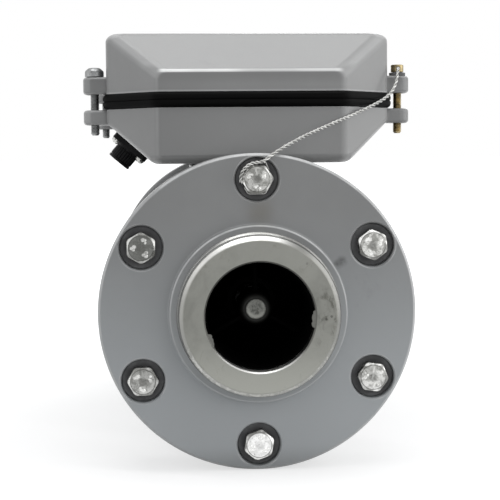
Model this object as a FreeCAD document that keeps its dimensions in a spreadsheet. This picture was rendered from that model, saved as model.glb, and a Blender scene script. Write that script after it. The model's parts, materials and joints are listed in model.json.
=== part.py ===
import FreeCAD, Part
import math
import os
from types import SimpleNamespace

import Sketcher

# An in-line ultrasonic gas meter, in millimetres. A flanged barrel has a bolted cover with a pipe
# stub at each end, a measuring tube between two transducers inside, and a sealed electronics
# enclosure on top. The origin is on the pipe axis, in the plane of the inlet boss face.
# +Y is the way the gas flows, +X is to the right seen from the inlet, and +Z is up.

SIZES = {
    # Barrel
    "barrel_length": 224,
    "flange_thick": 16,
    "barrel_wall": 8.5,
    "weld_leg": 5,
    "weld_clearance": 0.05,
    "pedestal_width": 62,
    "pedestal_length": 104,
    "pedestal_height": 12.6,
    "pedestal_round": 8,
    # End covers and their seals
    "cover_thick": 18,
    "rim_land": 2,
    "rim_bevel": 1.3,
    "boss_wall": 4.5,
    "boss_height": 6,
    "boss_foot_radius": 1.2,
    "register_length": 4,
    "register_wall": 5.9,
    "register_clearance": 0.05,
    "seal_land": 3.2,
    "seal_width": 3.6,
    "seal_depth": 2.6,
    "seal_clearance": 0.1,
    # Cover bolts
    "bolt_count": 6,
    "bolt_land": 4.2,
    "bolt_dia": 8,
    "bolt_flats": 14,
    "bolt_head": 5.3,
    "bolt_length": 25,
    "bolt_clearance": 0.5,
    "thread_clearance": 0.05,
    "tap_runout": 2,
    "pocket_dia": 22,
    "pocket_depth": 5,
    "washer_gap": 0.3,
    "washer_thick": 1.6,
    # Pipe stubs
    "nozzle_dia": 80,
    "nozzle_reach": 12,
    "nozzle_bevel": 2.6,
    "nozzle_bore": 54,
    "nozzle_clearance": 0.05,
    "lip_bevel": 0.8,
    "relief_depth": 0.7,
    "relief_width": 1.2,
    "shoulder_width": 6,
    "shoulder_thick": 4,
    "stake_width": 8,
    "stake_reach": 2.4,
    "stake_thick": 1.8,
    # Transducers and their carriers
    "sleeve_inset": 7,
    "sleeve_wall": 3,
    "sleeve_step": 2,
    "sleeve_clearance": 0.05,
    "sleeve_tail": 12,
    "sleeve_flange": 5,
    "sleeve_flange_thick": 3,
    "vane_count": 3,
    "vane_thick": 2.4,
    "hub_dia": 18,
    "hub_length": 24,
    "hub_taper": 2.5,
    "transducer_dia": 10.3,
    "transducer_length": 29,
    "transducer_depth": 15,
    "transducer_nose": 1.5,
    "transducer_rim": 0.9,
    "transducer_dish": 0.6,
    # Measuring tube and the plate that holds it
    "plate_thick": 12,
    "plate_clearance": 0.05,
    "tube_bore": 18,
    "tube_wall": 4,
    "tube_gap": 8,
    "tube_mouth_bevel": 1.5,
    "tube_clearance": 0.05,
    "collar_dia": 60,
    "collar_thick": 5,
    "tube_gasket_thick": 1,
    "tube_screw_count": 4,
    "tube_screw_circle": 44,
    "tube_screw_dia": 4,
    "tube_screw_length": 14,
    "tube_screw_head_dia": 7,
    "tube_screw_head": 3,
    # Cable feedthrough
    "feed_offset": 30,
    "feed_dia": 16,
    "feed_clearance": 0.1,
    "feed_flange_dia": 24,
    "feed_flange_thick": 2.5,
    "feed_dome_dia": 13,
    "feed_dome_height": 4,
    "feed_tail": 4,
    # Enclosure base
    "case_width": 154,
    "case_gap": 2,
    "corner_cut": 27.5,
    "slope_step": 2,
    "wall": 4,
    "corner_radius": 6,
    "edge_radius": 2,
    "base_height": 29.4,
    "side_rise": 22,
    "base_seal_thick": 1.5,
    "base_screw_dia": 6,
    "base_screw_clearance": 0.3,
    "base_screw_inset_x": 9,
    "base_screw_inset_y": 10,
    "base_screw_length": 15,
    "base_screw_head_dia": 10,
    "base_screw_head": 6,
    # Gasket and lid
    "gasket_thick": 8.4,
    "gasket_bulge": 2.2,
    "lid_height": 32.6,
    "band_height": 10.9,
    # Lugs and lid screws
    "lug_reach": 6.7,
    "lug_radius": 6.2,
    "lug_inset": 8.5,
    "upper_lug": 9.5,
    "lower_lug": 8.1,
    "lid_screw_dia": 4.8,
    "lid_screw_clearance": 0.3,
    "lid_screw_tip": 5.6,
    "lid_screw_head_dia": 10.3,
    "lid_screw_head": 5.2,
    "lid_screw_dome": 2.4,
    "lid_screw_slot": 1.3,
    "lid_screw_slot_depth": 1.6,
    "seal_head_dia": 7,
    "seal_head": 4.4,
    "seal_washer_dia": 9,
    "seal_washer_thick": 1.8,
    "seal_hole_dia": 1.7,
    "seal_hole_height": 2.3,
    # Window, display and button in the lid's top
    "window_width": 76,
    "window_depth": 46,
    "window_ledge": 4,
    "window_thick": 2,
    "window_gasket_thick": 0.5,
    "window_clearance": 0.2,
    "window_offset": 18,
    "display_gap": 1.5,
    "display_margin": 1,
    "display_bevel": 0.6,
    "display_side_gap": 21,
    "display_end_gap": 14.5,
    "display_boss_height": 8,
    "display_boss_dia": 7,
    "display_boss_inset": 5,
    "board_thick": 1.6,
    "board_screw_dia": 2.5,
    "board_screw_length": 6,
    "board_screw_head_dia": 5,
    "board_screw_head": 2,
    "button_dia": 11.8,
    "button_clearance": 0.1,
    "button_rise": 2,
    "button_round": 0.8,
    "button_flange": 2,
    "button_flange_thick": 1.5,
    "button_stem_dia": 4,
    "button_travel": 1.5,
    "button_offset": 30,
    "switch_width": 6,
    "switch_height": 3,
    "switch_gap": 0.2,
    "spring_wire": 0.8,
    "spring_dia": 11,
    "spring_turns": 4,
    # Main board and battery
    "board_side_gap": 5.5,
    "board_front_gap": 12,
    "board_rear_gap": 15.8,
    "board_boss_height": 11.4,
    "board_boss_dia": 8,
    "board_boss_inset": 6,
    "terminal_width": 60,
    "terminal_depth": 10,
    "terminal_height": 9,
    "cell_dia": 33,
    "cell_length": 60,
    "cell_gap": 2,
    "cell_seat": 0.1,
    "holder_leg": 8,
    "holder_leg_width": 8,
    "holder_plate": 2,
    "holder_wall": 3,
    "holder_wall_height": 14,
    "holder_rear_gap": 10,
    # Connector on the left slope
    "connector_offset": 20,
    "connector_plate": 23,
    "connector_plate_thick": 3,
    "connector_gasket_thick": 0.8,
    "connector_dia": 14,
    "connector_reach": 9.5,
    "connector_bore": 11.4,
    "connector_depth": 9,
    "connector_tail_dia": 12.8,
    "connector_tail": 9,
    "connector_clearance": 0.2,
    "connector_screw_spacing": 17.4,
    "connector_screw_dia": 3,
    "connector_screw_length": 7,
    "connector_screw_head_dia": 5,
    "connector_screw_head": 2.4,
    "insert_thick": 3,
    "pin_count": 5,
    "pin_circle": 6,
    "pin_dia": 1.4,
    "pin_height": 4,
    # Seal wire
    "wire_dia": 1.5,
    "loop_wire_dia": 1.1,
    "loop_gap": 0.12,
    "loop_inset": 1.2,
}

# Where a ring of places begins, in degrees from +X towards +Z: at the top.
RING_START = 90

# How far each cover bolt's head is turned, in degrees, from the top bolt round to the left.
BOLT_TURNS = (0, 30, 0, 20, 52, 37)

# Where the lip is staked over the sleeve, in degrees from +X towards +Z.
STAKE_ANGLES = (-2.7, 203.3)

# The way out of the seal screw's cross hole, in degrees from straight ahead towards +X.
SEAL_HOLE_TURN = -4

# The seal wire's route: first measured from the middle of the seal screw's cross hole, and then from
# the middle of the top cover bolt in the plane of the cover's face.
WIRE_FROM_SCREW = (
    (-0.1, -1.9, 0.0),
    (-0.4, -6.6, 0.0),
    (-1.6, -10.1, -2.7),
    (-2.8, -12.4, -7.6),
    (-6.3, -15.4, -12.5),
    (-13.5, -21.0, -17.0),
)
WIRE_TO_BOLT = (
    (55.7, 39.2, 35.3),
    (39.9, 27.0, 28.3),
    (24.5, 13.0, 21.0),
    (14.5, 3.6, 16.0),
    (8.0, -1.1, 12.4),
    (3.2, -1.6, 8.7),
)

doc = FreeCAD.newDocument("gas_meter")
sheet = doc.addObject("Spreadsheet::Sheet", "Sizes")
for row, (alias, number) in enumerate(SIZES.items(), 1):
    sheet.set(f"A{row}", alias)
    sheet.set(f"B{row}", str(number))
    sheet.setAlias(f"B{row}", alias)
doc.recompute()


def number_of(value):
    return value.number if isinstance(value, Size) else float(value)


def formula_of(value):
    return value.formula if isinstance(value, Size) else f"{float(value):.9f}"


class Size:
    """A number that keeps the sheet formula it comes from."""

    def __init__(self, number, formula):
        self.number = number
        self.formula = formula

    def __add__(self, other):
        return Size(self.number + number_of(other), f"({self.formula} + ({formula_of(other)}))")

    def __sub__(self, other):
        return Size(self.number - number_of(other), f"({self.formula} - ({formula_of(other)}))")

    def __rsub__(self, other):
        return Size(number_of(other) - self.number, f"({formula_of(other)} - {self.formula})")

    def __mul__(self, other):
        return Size(self.number * number_of(other), f"({self.formula} * ({formula_of(other)}))")

    def __truediv__(self, other):
        return Size(self.number / number_of(other), f"({self.formula} / ({formula_of(other)}))")

    def __neg__(self):
        return Size(-self.number, f"(-1 * {self.formula})")

    __radd__ = __add__
    __rmul__ = __mul__


s = SimpleNamespace(**{alias: Size(float(sheet.get(alias)), f"Sizes.{alias}") for alias in SIZES})

# Stations along the pipe
cover_face = s.boss_height
barrel_start = cover_face + s.cover_thick
barrel_end = barrel_start + s.barrel_length
overall = barrel_end + s.cover_thick + s.boss_height
middle = overall / 2
plate_start = middle - s.plate_thick / 2
plate_end = middle + s.plate_thick / 2
collar_end = plate_start - s.tube_gasket_thick
collar_start = collar_end - s.collar_thick
pocket_floor = cover_face + s.pocket_depth
head_seat = pocket_floor - s.washer_thick
nozzle_end = -s.nozzle_reach
shoulder_start = barrel_start - s.shoulder_thick
sleeve_start = nozzle_end + s.sleeve_inset
sleeve_end = barrel_start + s.sleeve_tail
transducer_front = cover_face + s.transducer_depth
transducer_back = transducer_front + s.transducer_length
hub_start = transducer_front + s.transducer_nose
tube_start = transducer_back + s.tube_gap
tube_end = overall - tube_start

# Radii of the pressure body, from the pipe stub outwards
nozzle_radius = s.nozzle_dia / 2
bore_radius = s.nozzle_bore / 2
sleeve_radius = bore_radius + s.sleeve_step
sleeve_bore_radius = sleeve_radius - s.sleeve_wall
tube_radius = s.tube_bore / 2 + s.tube_wall
boss_radius = nozzle_radius + s.boss_wall
shoulder_radius = nozzle_radius + s.shoulder_width
recess_radius = shoulder_radius + s.nozzle_clearance
register_radius = recess_radius + s.register_wall
chamber_radius = register_radius + s.register_clearance
waist_radius = chamber_radius + s.barrel_wall
seal_row = chamber_radius + s.seal_land + s.seal_width / 2
bolt_row = seal_row + s.seal_width / 2 + s.bolt_land + s.bolt_dia / 2
rim_radius = bolt_row + s.pocket_dia / 2 + s.rim_land

# Heights
pedestal_top = waist_radius + s.pedestal_height
base_bottom = pedestal_top + s.base_seal_thick
base_floor = base_bottom + s.wall
base_top = base_bottom + s.base_height
lid_bottom = base_top + s.gasket_thick
lid_top = lid_bottom + s.lid_height
lid_ceiling = lid_top - s.wall
upper_lug_top = lid_bottom + s.upper_lug
lower_lug_bottom = base_top - s.lower_lug
display_board_top = lid_ceiling - s.display_boss_height
board_bottom = base_floor + s.board_boss_height

# The enclosure's plan: it sits between the flanges, and its slopes end just short of its cut corners
case_length = s.barrel_length - (s.flange_thick + s.case_gap) * 2
half_width, half_length = s.case_width / 2, case_length / 2
slope_run = s.corner_cut - s.slope_step
case_front, case_rear = middle - half_length, middle + half_length
lug_x = half_width + s.lug_reach
lug_row = half_length - s.corner_cut - s.lug_inset
lug_rows = (middle - lug_row, middle + lug_row)
base_screw_spacing = (s.pedestal_width - s.base_screw_inset_x * 2,
                      s.pedestal_length - s.base_screw_inset_y * 2)
feed_y = middle - s.feed_offset
window_y = middle - s.window_offset
button_y = middle + s.button_offset
connector_y = middle - s.connector_offset
slope_angle = math.degrees(math.atan2(s.side_rise.number, slope_run.number))

# Boards and battery
display_board_width = s.case_width - (s.wall + s.display_side_gap) * 2
display_board_length = case_length - (slope_run + s.wall + s.display_end_gap) * 2
window_opening = (s.window_width - s.window_ledge * 2, s.window_depth - s.window_ledge * 2)
holder_end = case_rear - s.wall - s.holder_rear_gap
holder_start = holder_end - s.holder_wall * 2 - s.cell_length - s.cell_seat * 2
board_width = s.case_width - (slope_run + s.board_side_gap) * 2
board_front = case_front + s.wall + s.board_front_gap
board_length = holder_start - s.board_rear_gap - board_front
board_middle = board_front + board_length / 2

parts = []


def bind(item, **values):
    """Set properties of a document object to sheet formulas; two underscores stand for a dot."""
    for name, value in values.items():
        item.setExpression(name.replace("__", "."), formula_of(value))


def new_body(label, x=0, y=0, z=0, turn=None):
    body = doc.addObject("PartDesign::Body", label)
    body.Label = label
    if turn:
        body.Placement = FreeCAD.Placement(FreeCAD.Vector(), turn)
    bind(body, Placement__Base__x=x, Placement__Base__y=y, Placement__Base__z=z)
    parts.append(body)
    return body


def new_end_body(label, end):
    """A body of the inlet end, or the same body turned round for the outlet end."""
    if end == "inlet":
        return new_body(f"inlet_{label}")
    return new_body(f"outlet_{label}", y=overall, turn=FreeCAD.Rotation(FreeCAD.Vector(0, 0, 1), 180))


def origin_feature(body, role):
    return next(item for item in body.Origin.OriginFeatures if item.Role == role)


def sketch_in(body, plane, offset=0, turn=0):
    """An empty sketch on an origin plane, moved along the plane's normal and turned about it."""
    sketch = body.newObject("Sketcher::SketchObject", "Sketch")
    sketch.AttachmentSupport = [(origin_feature(body, plane), "")]
    sketch.MapMode = "FlatFace"
    normal = FreeCAD.Vector(0, 0, 1)
    sketch.AttachmentOffset = FreeCAD.Placement(FreeCAD.Vector(), FreeCAD.Rotation(normal, turn))
    bind(sketch, AttachmentOffset__Base__z=offset)
    return sketch


def level(body, z):
    """A sketch at a height, with X and Y in its plane."""
    return sketch_in(body, "XY_Plane", z)


def station(body, y, turn=0):
    """A sketch across the pipe at a station, with X and Z in its plane."""
    return sketch_in(body, "XZ_Plane", -y if isinstance(y, Size) else -float(y), turn)


def pin_point(sketch, geometry, point, u, v):
    for kind, axis, value in (("DistanceX", -2, u), ("DistanceY", -1, v)):
        if not isinstance(value, Size) and value == 0:
            sketch.addConstraint(Sketcher.Constraint("PointOnObject", geometry, point, axis))
            continue
        index = sketch.addConstraint(Sketcher.Constraint(kind, -1, 1, geometry, point, number_of(value)))
        sketch.setExpression(f"Constraints[{index}]", formula_of(value))


def polygon(sketch, points):
    corners = [FreeCAD.Vector(number_of(u), number_of(v), 0) for u, v in points]
    sides = [sketch.addGeometry(Part.LineSegment(a, b)) for a, b in zip(corners, corners[1:] + corners[:1])]
    for side, before, (u, v) in zip(sides, sides[-1:] + sides[:-1], points):
        sketch.addConstraint(Sketcher.Constraint("Coincident", before, 2, side, 1))
        pin_point(sketch, side, 1, u, v)


def circle(sketch, u, v, diameter):
    middle_point = FreeCAD.Vector(number_of(u), number_of(v), 0)
    ring = Part.Circle(middle_point, FreeCAD.Vector(0, 0, 1), number_of(diameter) / 2)
    index = sketch.addGeometry(ring)
    pin_point(sketch, index, 3, u, v)
    constraint = sketch.addConstraint(Sketcher.Constraint("Diameter", index, number_of(diameter)))
    sketch.setExpression(f"Constraints[{constraint}]", formula_of(diameter))


def box_outline(sketch, u, v, width, depth):
    """A rectangle about its middle."""
    a, b = width / 2, depth / 2
    polygon(sketch, [(u - a, v - b), (u + a, v - b), (u + a, v + b), (u - a, v + b)])


def eight_corners(sketch, outset):
    """The enclosure's outline, a rectangle with cut corners, set out by a distance all round."""
    trim = s.corner_cut + outset * (2 - math.sqrt(2))
    a, b = half_width + outset, half_length + outset
    quarter = [(a, trim - b), (a, b - trim), (a - trim, b), (trim - a, b)]
    quarter += [(-a, b - trim), (-a, trim - b), (trim - a, -b), (a - trim, -b)]
    polygon(sketch, [(u, middle + v) for u, v in quarter])


def pad(body, sketch, length, reverse=False):
    feature = body.newObject("PartDesign::Pad", "Pad")
    feature.Profile = sketch
    feature.Reversed = reverse
    bind(feature, Length=length)
    return feature


def cut_volume(feature, before):
    """Recompute and make sure that a cut took material away."""
    doc.recompute()
    if feature.Shape.Volume > before - 1e-6:
        raise RuntimeError(f"{feature.Name} cuts nothing")
    return feature


def tip_volume(body):
    doc.recompute()
    return body.Tip.Shape.Volume


def pocket(body, sketch, length, reverse=False, both_ways=False):
    before = tip_volume(body)
    feature = body.newObject("PartDesign::Pocket", "Pocket")
    feature.Profile = sketch
    feature.Reversed = reverse
    if both_ways:
        feature.SideType = "Symmetric"
    bind(feature, Length=length)
    return cut_volume(feature, before)


def revolve(body, sketch):
    feature = body.newObject("PartDesign::Revolution", "Revolution")
    feature.Profile = sketch
    feature.ReferenceAxis = (sketch, ["V_Axis"])
    feature.Angle = 360
    return feature


def groove(body, sketch):
    before = tip_volume(body)
    feature = body.newObject("PartDesign::Groove", "Groove")
    feature.Profile = sketch
    feature.ReferenceAxis = (sketch, ["V_Axis"])
    feature.Angle = 360
    return cut_volume(feature, before)


def loft(body, first, last):
    feature = body.newObject("PartDesign::AdditiveLoft", "Loft")
    feature.Profile = first
    feature.Sections = [last]
    feature.Ruled = True
    return feature


def polar(body, features, count):
    """Repeat features round the pipe axis."""
    doc.recompute()
    pattern = body.newObject("PartDesign::PolarPattern", "Pattern")
    pattern.Originals = features
    pattern.Axis = (origin_feature(body, "Y_Axis"), [""])
    pattern.Angle = 360
    bind(pattern, Occurrences=count)
    body.Tip = pattern
    return pattern


def edge_names(body, test):
    doc.recompute()
    edges = body.Tip.Shape.Edges
    return [f"Edge{index}" for index, edge in enumerate(edges, 1) if test(edge)]


def round_edges(body, test, radius):
    names = edge_names(body, test)
    base = body.Tip
    feature = body.newObject("PartDesign::Fillet", "Fillet")
    feature.Base = (base, names)
    bind(feature, Radius=radius)
    body.Tip = feature
    return feature


def bevel_edges(body, test, size):
    names = edge_names(body, test)
    base = body.Tip
    feature = body.newObject("PartDesign::Chamfer", "Chamfer")
    feature.Base = (base, names)
    bind(feature, Size=size)
    body.Tip = feature
    return feature


def shell(body, open_z):
    """Hollow a block to the enclosure's wall, open at one height."""
    doc.recompute()
    faces = body.Tip.Shape.Faces
    flat = [index for index, face in enumerate(faces, 1) if face.BoundBox.ZLength < 1e-6]
    names = [f"Face{index}" for index in flat if abs(faces[index - 1].CenterOfMass.z - open_z.number) < 1e-6]
    base = body.Tip
    feature = body.newObject("PartDesign::Thickness", "Shell")
    feature.Base = (base, names)
    feature.Reversed = True
    feature.Join = "Intersection"
    bind(feature, Value=s.wall)
    body.Tip = feature
    return feature


def middle_of(edge):
    return edge.valueAt((edge.FirstParameter + edge.LastParameter) / 2)


def is_circle(edge, radius, y):
    """Whether an edge is a ring round the pipe axis with a given radius and station."""
    if not isinstance(edge.Curve, Part.Circle):
        return False
    near = abs(edge.Curve.Center.y - number_of(y)) < 1e-4
    return near and abs(edge.Curve.Radius - number_of(radius)) < 1e-4


def is_upright(edge):
    return edge.BoundBox.XLength < 1e-4 and edge.BoundBox.YLength < 1e-4 and edge.BoundBox.ZLength > 1e-4


def ring_places(count, radius, start=RING_START):
    """Points spaced evenly on a circle, from its start round to the left."""
    angles = [math.radians(start + 360 * index / count) for index in range(count)]
    return [(radius * math.cos(angle), radius * math.sin(angle)) for angle in angles]


def corner_places(u, v, spacing_u, spacing_v):
    return [(u + spacing_u * (a / 2), v + spacing_v * (b / 2)) for a in (-1, 1) for b in (-1, 1)]


def count_of(size):
    return int(round(size.number))


# Pressure body


def make_barrel():
    """A thick tube with a seal groove in each end."""
    body = new_body("body_barrel")
    tube = level(body, 0)
    polygon(tube, [(chamber_radius, barrel_start), (waist_radius, barrel_start), (waist_radius, barrel_end),
                   (chamber_radius, barrel_end)])
    revolve(body, tube)
    seats = level(body, 0)
    for y in (barrel_start + s.seal_depth / 2, barrel_end - s.seal_depth / 2):
        box_outline(seats, seal_row, y, s.seal_width + s.seal_clearance * 2, s.seal_depth)
    groove(body, seats)
    duct = level(body, pedestal_top)
    circle(duct, 0, feed_y, s.feed_dia)
    pocket(body, duct, pedestal_top)


def make_flange(end):
    """A ring round the barrel's end with its weld bead, tapped for the cover's bolts."""
    body = new_end_body("flange", end)
    ring = level(body, 0)
    inside, back = waist_radius + s.weld_clearance, barrel_start + s.flange_thick
    polygon(ring, [(inside, barrel_start), (rim_radius, barrel_start), (rim_radius, back),
                   (inside + s.weld_leg, back), (inside, back + s.weld_leg)])
    revolve(body, ring)
    tap_depth = head_seat + s.bolt_length + s.tap_runout - barrel_start
    hole = station(body, barrel_start)
    circle(hole, 0, bolt_row, s.bolt_dia + s.thread_clearance * 2)
    polar(body, [pocket(body, hole, tap_depth)], s.bolt_count)


def make_pedestal():
    """A saddle welded on top of the barrel, tapped for the screws that hold the enclosure."""
    body = new_body("barrel_pedestal")
    foot = level(body, pedestal_top)
    box_outline(foot, 0, middle, s.pedestal_width, s.pedestal_length)
    pad(body, foot, pedestal_top, reverse=True)
    round_edges(body, is_upright, s.pedestal_round)
    saddle, inside = level(body, 0), waist_radius + s.weld_clearance
    polygon(saddle, [(0, barrel_start), (inside, barrel_start), (inside, barrel_end), (0, barrel_end)])
    groove(body, saddle)
    top = level(body, pedestal_top)
    for u, v in corner_places(0, middle, *base_screw_spacing):
        circle(top, u, v, s.base_screw_dia + s.thread_clearance * 2)
    pocket(body, top, s.base_screw_length - s.wall - s.base_seal_thick + s.tap_runout)
    duct = level(body, pedestal_top)
    circle(duct, 0, feed_y, s.feed_dia)
    pocket(body, duct, pedestal_top)


def make_cover(end):
    body = new_end_body("cover", end)
    profile = level(body, 0)
    rim, hole = rim_radius, nozzle_radius + s.nozzle_clearance
    inner_end = barrel_start + s.register_length
    polygon(profile, [(hole, 0), (boss_radius, 0), (boss_radius, cover_face),
                      (rim - s.rim_bevel, cover_face), (rim, cover_face + s.rim_bevel), (rim, barrel_start),
                      (register_radius, barrel_start), (register_radius, inner_end),
                      (recess_radius, inner_end), (recess_radius, shoulder_start), (hole, shoulder_start)])
    revolve(body, profile)
    round_edges(body, lambda edge: is_circle(edge, boss_radius, cover_face), s.boss_foot_radius)
    wide = station(body, cover_face)
    circle(wide, 0, bolt_row, s.pocket_dia)
    narrow = station(body, cover_face)
    circle(narrow, 0, bolt_row, s.bolt_dia + s.bolt_clearance * 2)
    holes = [pocket(body, wide, s.pocket_depth), pocket(body, narrow, s.cover_thick)]
    polar(body, holes, s.bolt_count)


def make_nozzle(end):
    body = new_end_body("nozzle", end)
    profile = level(body, 0)
    waist = nozzle_radius - s.relief_depth
    lip, bevel = s.lip_bevel, s.nozzle_bevel
    polygon(profile, [(bore_radius + lip, nozzle_end), (nozzle_radius - bevel, nozzle_end),
                      (nozzle_radius, nozzle_end + bevel), (nozzle_radius, 0), (waist, 0),
                      (waist, s.relief_width), (nozzle_radius, s.relief_width),
                      (nozzle_radius, shoulder_start), (shoulder_radius, shoulder_start),
                      (shoulder_radius, barrel_start), (sleeve_radius, barrel_start),
                      (sleeve_radius, sleeve_start), (bore_radius, sleeve_start),
                      (bore_radius, nozzle_end + lip)])
    revolve(body, profile)
    overlap = s.stake_reach / 4
    for angle in STAKE_ANGLES:
        tab = station(body, nozzle_end + lip, angle)
        inner, outer, half = bore_radius - s.stake_reach, bore_radius + overlap, s.stake_width / 2
        polygon(tab, [(inner, -half), (outer, -half), (outer, half), (inner, half)])
        pad(body, tab, s.stake_thick, reverse=True)


def make_cover_seal(end):
    body = new_end_body("cover_seal", end)
    profile = level(body, 0)
    box_outline(profile, seal_row, barrel_start + s.seal_depth / 2, s.seal_width, s.seal_depth)
    revolve(body, profile)


def make_cover_bolts(end):
    body = new_end_body("cover_bolts", end)
    places = ring_places(count_of(s.bolt_count), bolt_row)
    heads = station(body, head_seat)
    corner_radius = s.bolt_flats / math.sqrt(3)
    for index, (u, v) in enumerate(places):
        turn = BOLT_TURNS[index % len(BOLT_TURNS)]
        corners = ring_places(6, corner_radius, turn)
        polygon(heads, [(u + a, v + b) for a, b in corners])
    pad(body, heads, s.bolt_head)
    shanks = station(body, head_seat)
    for u, v in places:
        circle(shanks, u, v, s.bolt_dia)
    pad(body, shanks, s.bolt_length, reverse=True)


def make_cover_washers(end):
    body = new_end_body("cover_washers", end)
    rings = station(body, pocket_floor)
    for u, v in ring_places(count_of(s.bolt_count), bolt_row):
        circle(rings, u, v, s.pocket_dia - s.washer_gap * 2)
        circle(rings, u, v, s.bolt_dia + s.bolt_clearance * 2)
    pad(body, rings, s.washer_thick)


# Gas path


def make_liner(end):
    """A moulded sleeve in the nozzle's bore, with a flange behind the nozzle's shoulder."""
    body = new_end_body("liner", end)
    sleeve = level(body, 0)
    outside = sleeve_radius - s.sleeve_clearance
    flange_end = barrel_start + s.sleeve_flange_thick
    polygon(sleeve, [(sleeve_bore_radius, sleeve_start), (outside, sleeve_start), (outside, barrel_start),
                     (outside + s.sleeve_flange, barrel_start), (outside + s.sleeve_flange, flange_end),
                     (outside, flange_end), (outside, sleeve_end), (sleeve_bore_radius, sleeve_end)])
    revolve(body, sleeve)


def make_carrier(end):
    """A hub on the pipe axis for the transducer, with vanes that stand in the liner's bore."""
    body = new_end_body("carrier", end)
    core = level(body, 0)
    hub, hole = s.hub_dia / 2, s.transducer_dia / 2 + s.sleeve_clearance
    narrow = hub - s.hub_taper
    vane_start = hub_start + s.hub_taper
    hub_end = hub_start + s.hub_length
    polygon(core, [(hole, hub_start), (narrow, hub_start), (hub, vane_start), (hub, hub_end - s.hub_taper),
                   (narrow, hub_end), (hole, hub_end)])
    revolve(body, core)
    vane = station(body, vane_start)
    half, root, tip = s.vane_thick / 2, (hub + hole) / 2, sleeve_bore_radius - s.sleeve_clearance
    polygon(vane, [(-half, root), (half, root), (half, tip), (-half, tip)])
    polar(body, [pad(body, vane, sleeve_end - vane_start, reverse=True)], s.vane_count)


def make_transducer(end):
    body = new_end_body("transducer", end)
    profile = level(body, 0)
    radius, rim = s.transducer_dia / 2, s.transducer_rim
    floor = transducer_front + s.transducer_dish
    polygon(profile, [(0, floor), (radius - rim - s.transducer_dish, floor), (radius - rim, transducer_front),
                      (radius, transducer_front), (radius, transducer_back), (0, transducer_back)])
    revolve(body, profile)


def make_tube_plate():
    """A round plate pressed into the barrel's bore, which parts the inlet chamber from the outlet."""
    body = new_body("tube_plate")
    disc = station(body, plate_end)
    circle(disc, 0, 0, (chamber_radius - s.plate_clearance) * 2)
    circle(disc, 0, 0, (tube_radius + s.tube_clearance) * 2)
    for u, v in ring_places(count_of(s.tube_screw_count), s.tube_screw_circle / 2):
        circle(disc, u, v, s.tube_screw_dia + s.thread_clearance * 2)
    pad(body, disc, s.plate_thick)


def make_measuring_tube():
    body = new_body("measuring_tube")
    profile = level(body, 0)
    bore, bevel = s.tube_bore / 2, s.tube_mouth_bevel
    start, end = tube_start, tube_end
    collar = s.collar_dia / 2
    polygon(profile, [(bore + bevel, start), (tube_radius, start), (tube_radius, collar_start),
                      (collar, collar_start), (collar, collar_end), (tube_radius, collar_end),
                      (tube_radius, end), (bore + bevel, end), (bore, end - bevel), (bore, start + bevel)])
    revolve(body, profile)
    hole = station(body, collar_start)
    circle(hole, 0, s.tube_screw_circle / 2, s.tube_screw_dia + s.bolt_clearance)
    polar(body, [pocket(body, hole, s.collar_thick)], s.tube_screw_count)


def make_tube_gasket():
    body = new_body("tube_gasket")
    ring = station(body, plate_start)
    circle(ring, 0, 0, s.collar_dia)
    circle(ring, 0, 0, (tube_radius + s.tube_clearance) * 2)
    for u, v in ring_places(count_of(s.tube_screw_count), s.tube_screw_circle / 2):
        circle(ring, u, v, s.tube_screw_dia + s.bolt_clearance)
    pad(body, ring, s.tube_gasket_thick)


def make_tube_screws():
    body = new_body("tube_screws")
    places = ring_places(count_of(s.tube_screw_count), s.tube_screw_circle / 2)
    heads, shanks = station(body, collar_start), station(body, collar_start)
    for u, v in places:
        circle(heads, u, v, s.tube_screw_head_dia)
        circle(shanks, u, v, s.tube_screw_dia)
    pad(body, heads, s.tube_screw_head)
    pad(body, shanks, s.tube_screw_length, reverse=True)


def make_feedthrough():
    """A gas-tight plug that takes the transducer leads up into the enclosure."""
    body = new_body("cable_feedthrough", y=feed_y)
    profile = station(body, 0)
    stem = s.feed_dia / 2 - s.feed_clearance
    low = chamber_radius - s.feed_tail
    shoulder = base_floor + s.feed_flange_thick
    dome = s.feed_dome_dia / 2
    polygon(profile, [(0, low), (stem, low), (stem, base_floor), (s.feed_flange_dia / 2, base_floor),
                      (s.feed_flange_dia / 2, shoulder), (dome, shoulder),
                      (dome - s.feed_dome_height / 2, shoulder + s.feed_dome_height),
                      (0, shoulder + s.feed_dome_height)])
    revolve(body, profile)


# Enclosure


def add_lugs(body, start_z, height, hole):
    """Four lugs beside the enclosure, each a round eye webbed to the wall, with a screw hole."""
    places = [(side * lug_x, y) for side in (-1, 1) for y in lug_rows]
    web = level(body, start_z)
    for u, y in places:
        side = 1 if u.number > 0 else -1
        box_outline(web, u - side * s.lug_reach / 2, y, s.lug_reach, s.lug_radius * 2)
    pad(body, web, height)
    eyes = level(body, start_z)
    for u, y in places:
        circle(eyes, u, y, s.lug_radius * 2)
    pad(body, eyes, height)
    holes = level(body, start_z)
    for u, y in places:
        circle(holes, u, y, hole)
    pocket(body, holes, height, reverse=True)


def hollow_case(body, open_z):
    """Hollow a block and round its outside: the upright corners first, then the other edges."""
    doc.recompute()
    outside = [edge.copy() for edge in body.Tip.Shape.Edges]

    def is_outer(edge):
        point = Part.Vertex(middle_of(edge))
        return any(line.distToShape(point)[0] < 1e-4 for line in outside)

    def is_soft(edge):
        at_rim = edge.BoundBox.ZLength < 1e-4 and abs(edge.BoundBox.ZMin - open_z.number) < 1e-4
        return is_outer(edge) and isinstance(edge.Curve, Part.Line) and not at_rim and not is_upright(edge)

    shell(body, open_z)
    round_edges(body, lambda edge: is_upright(edge) and is_outer(edge), s.corner_radius)
    round_edges(body, is_soft, s.edge_radius)


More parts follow.
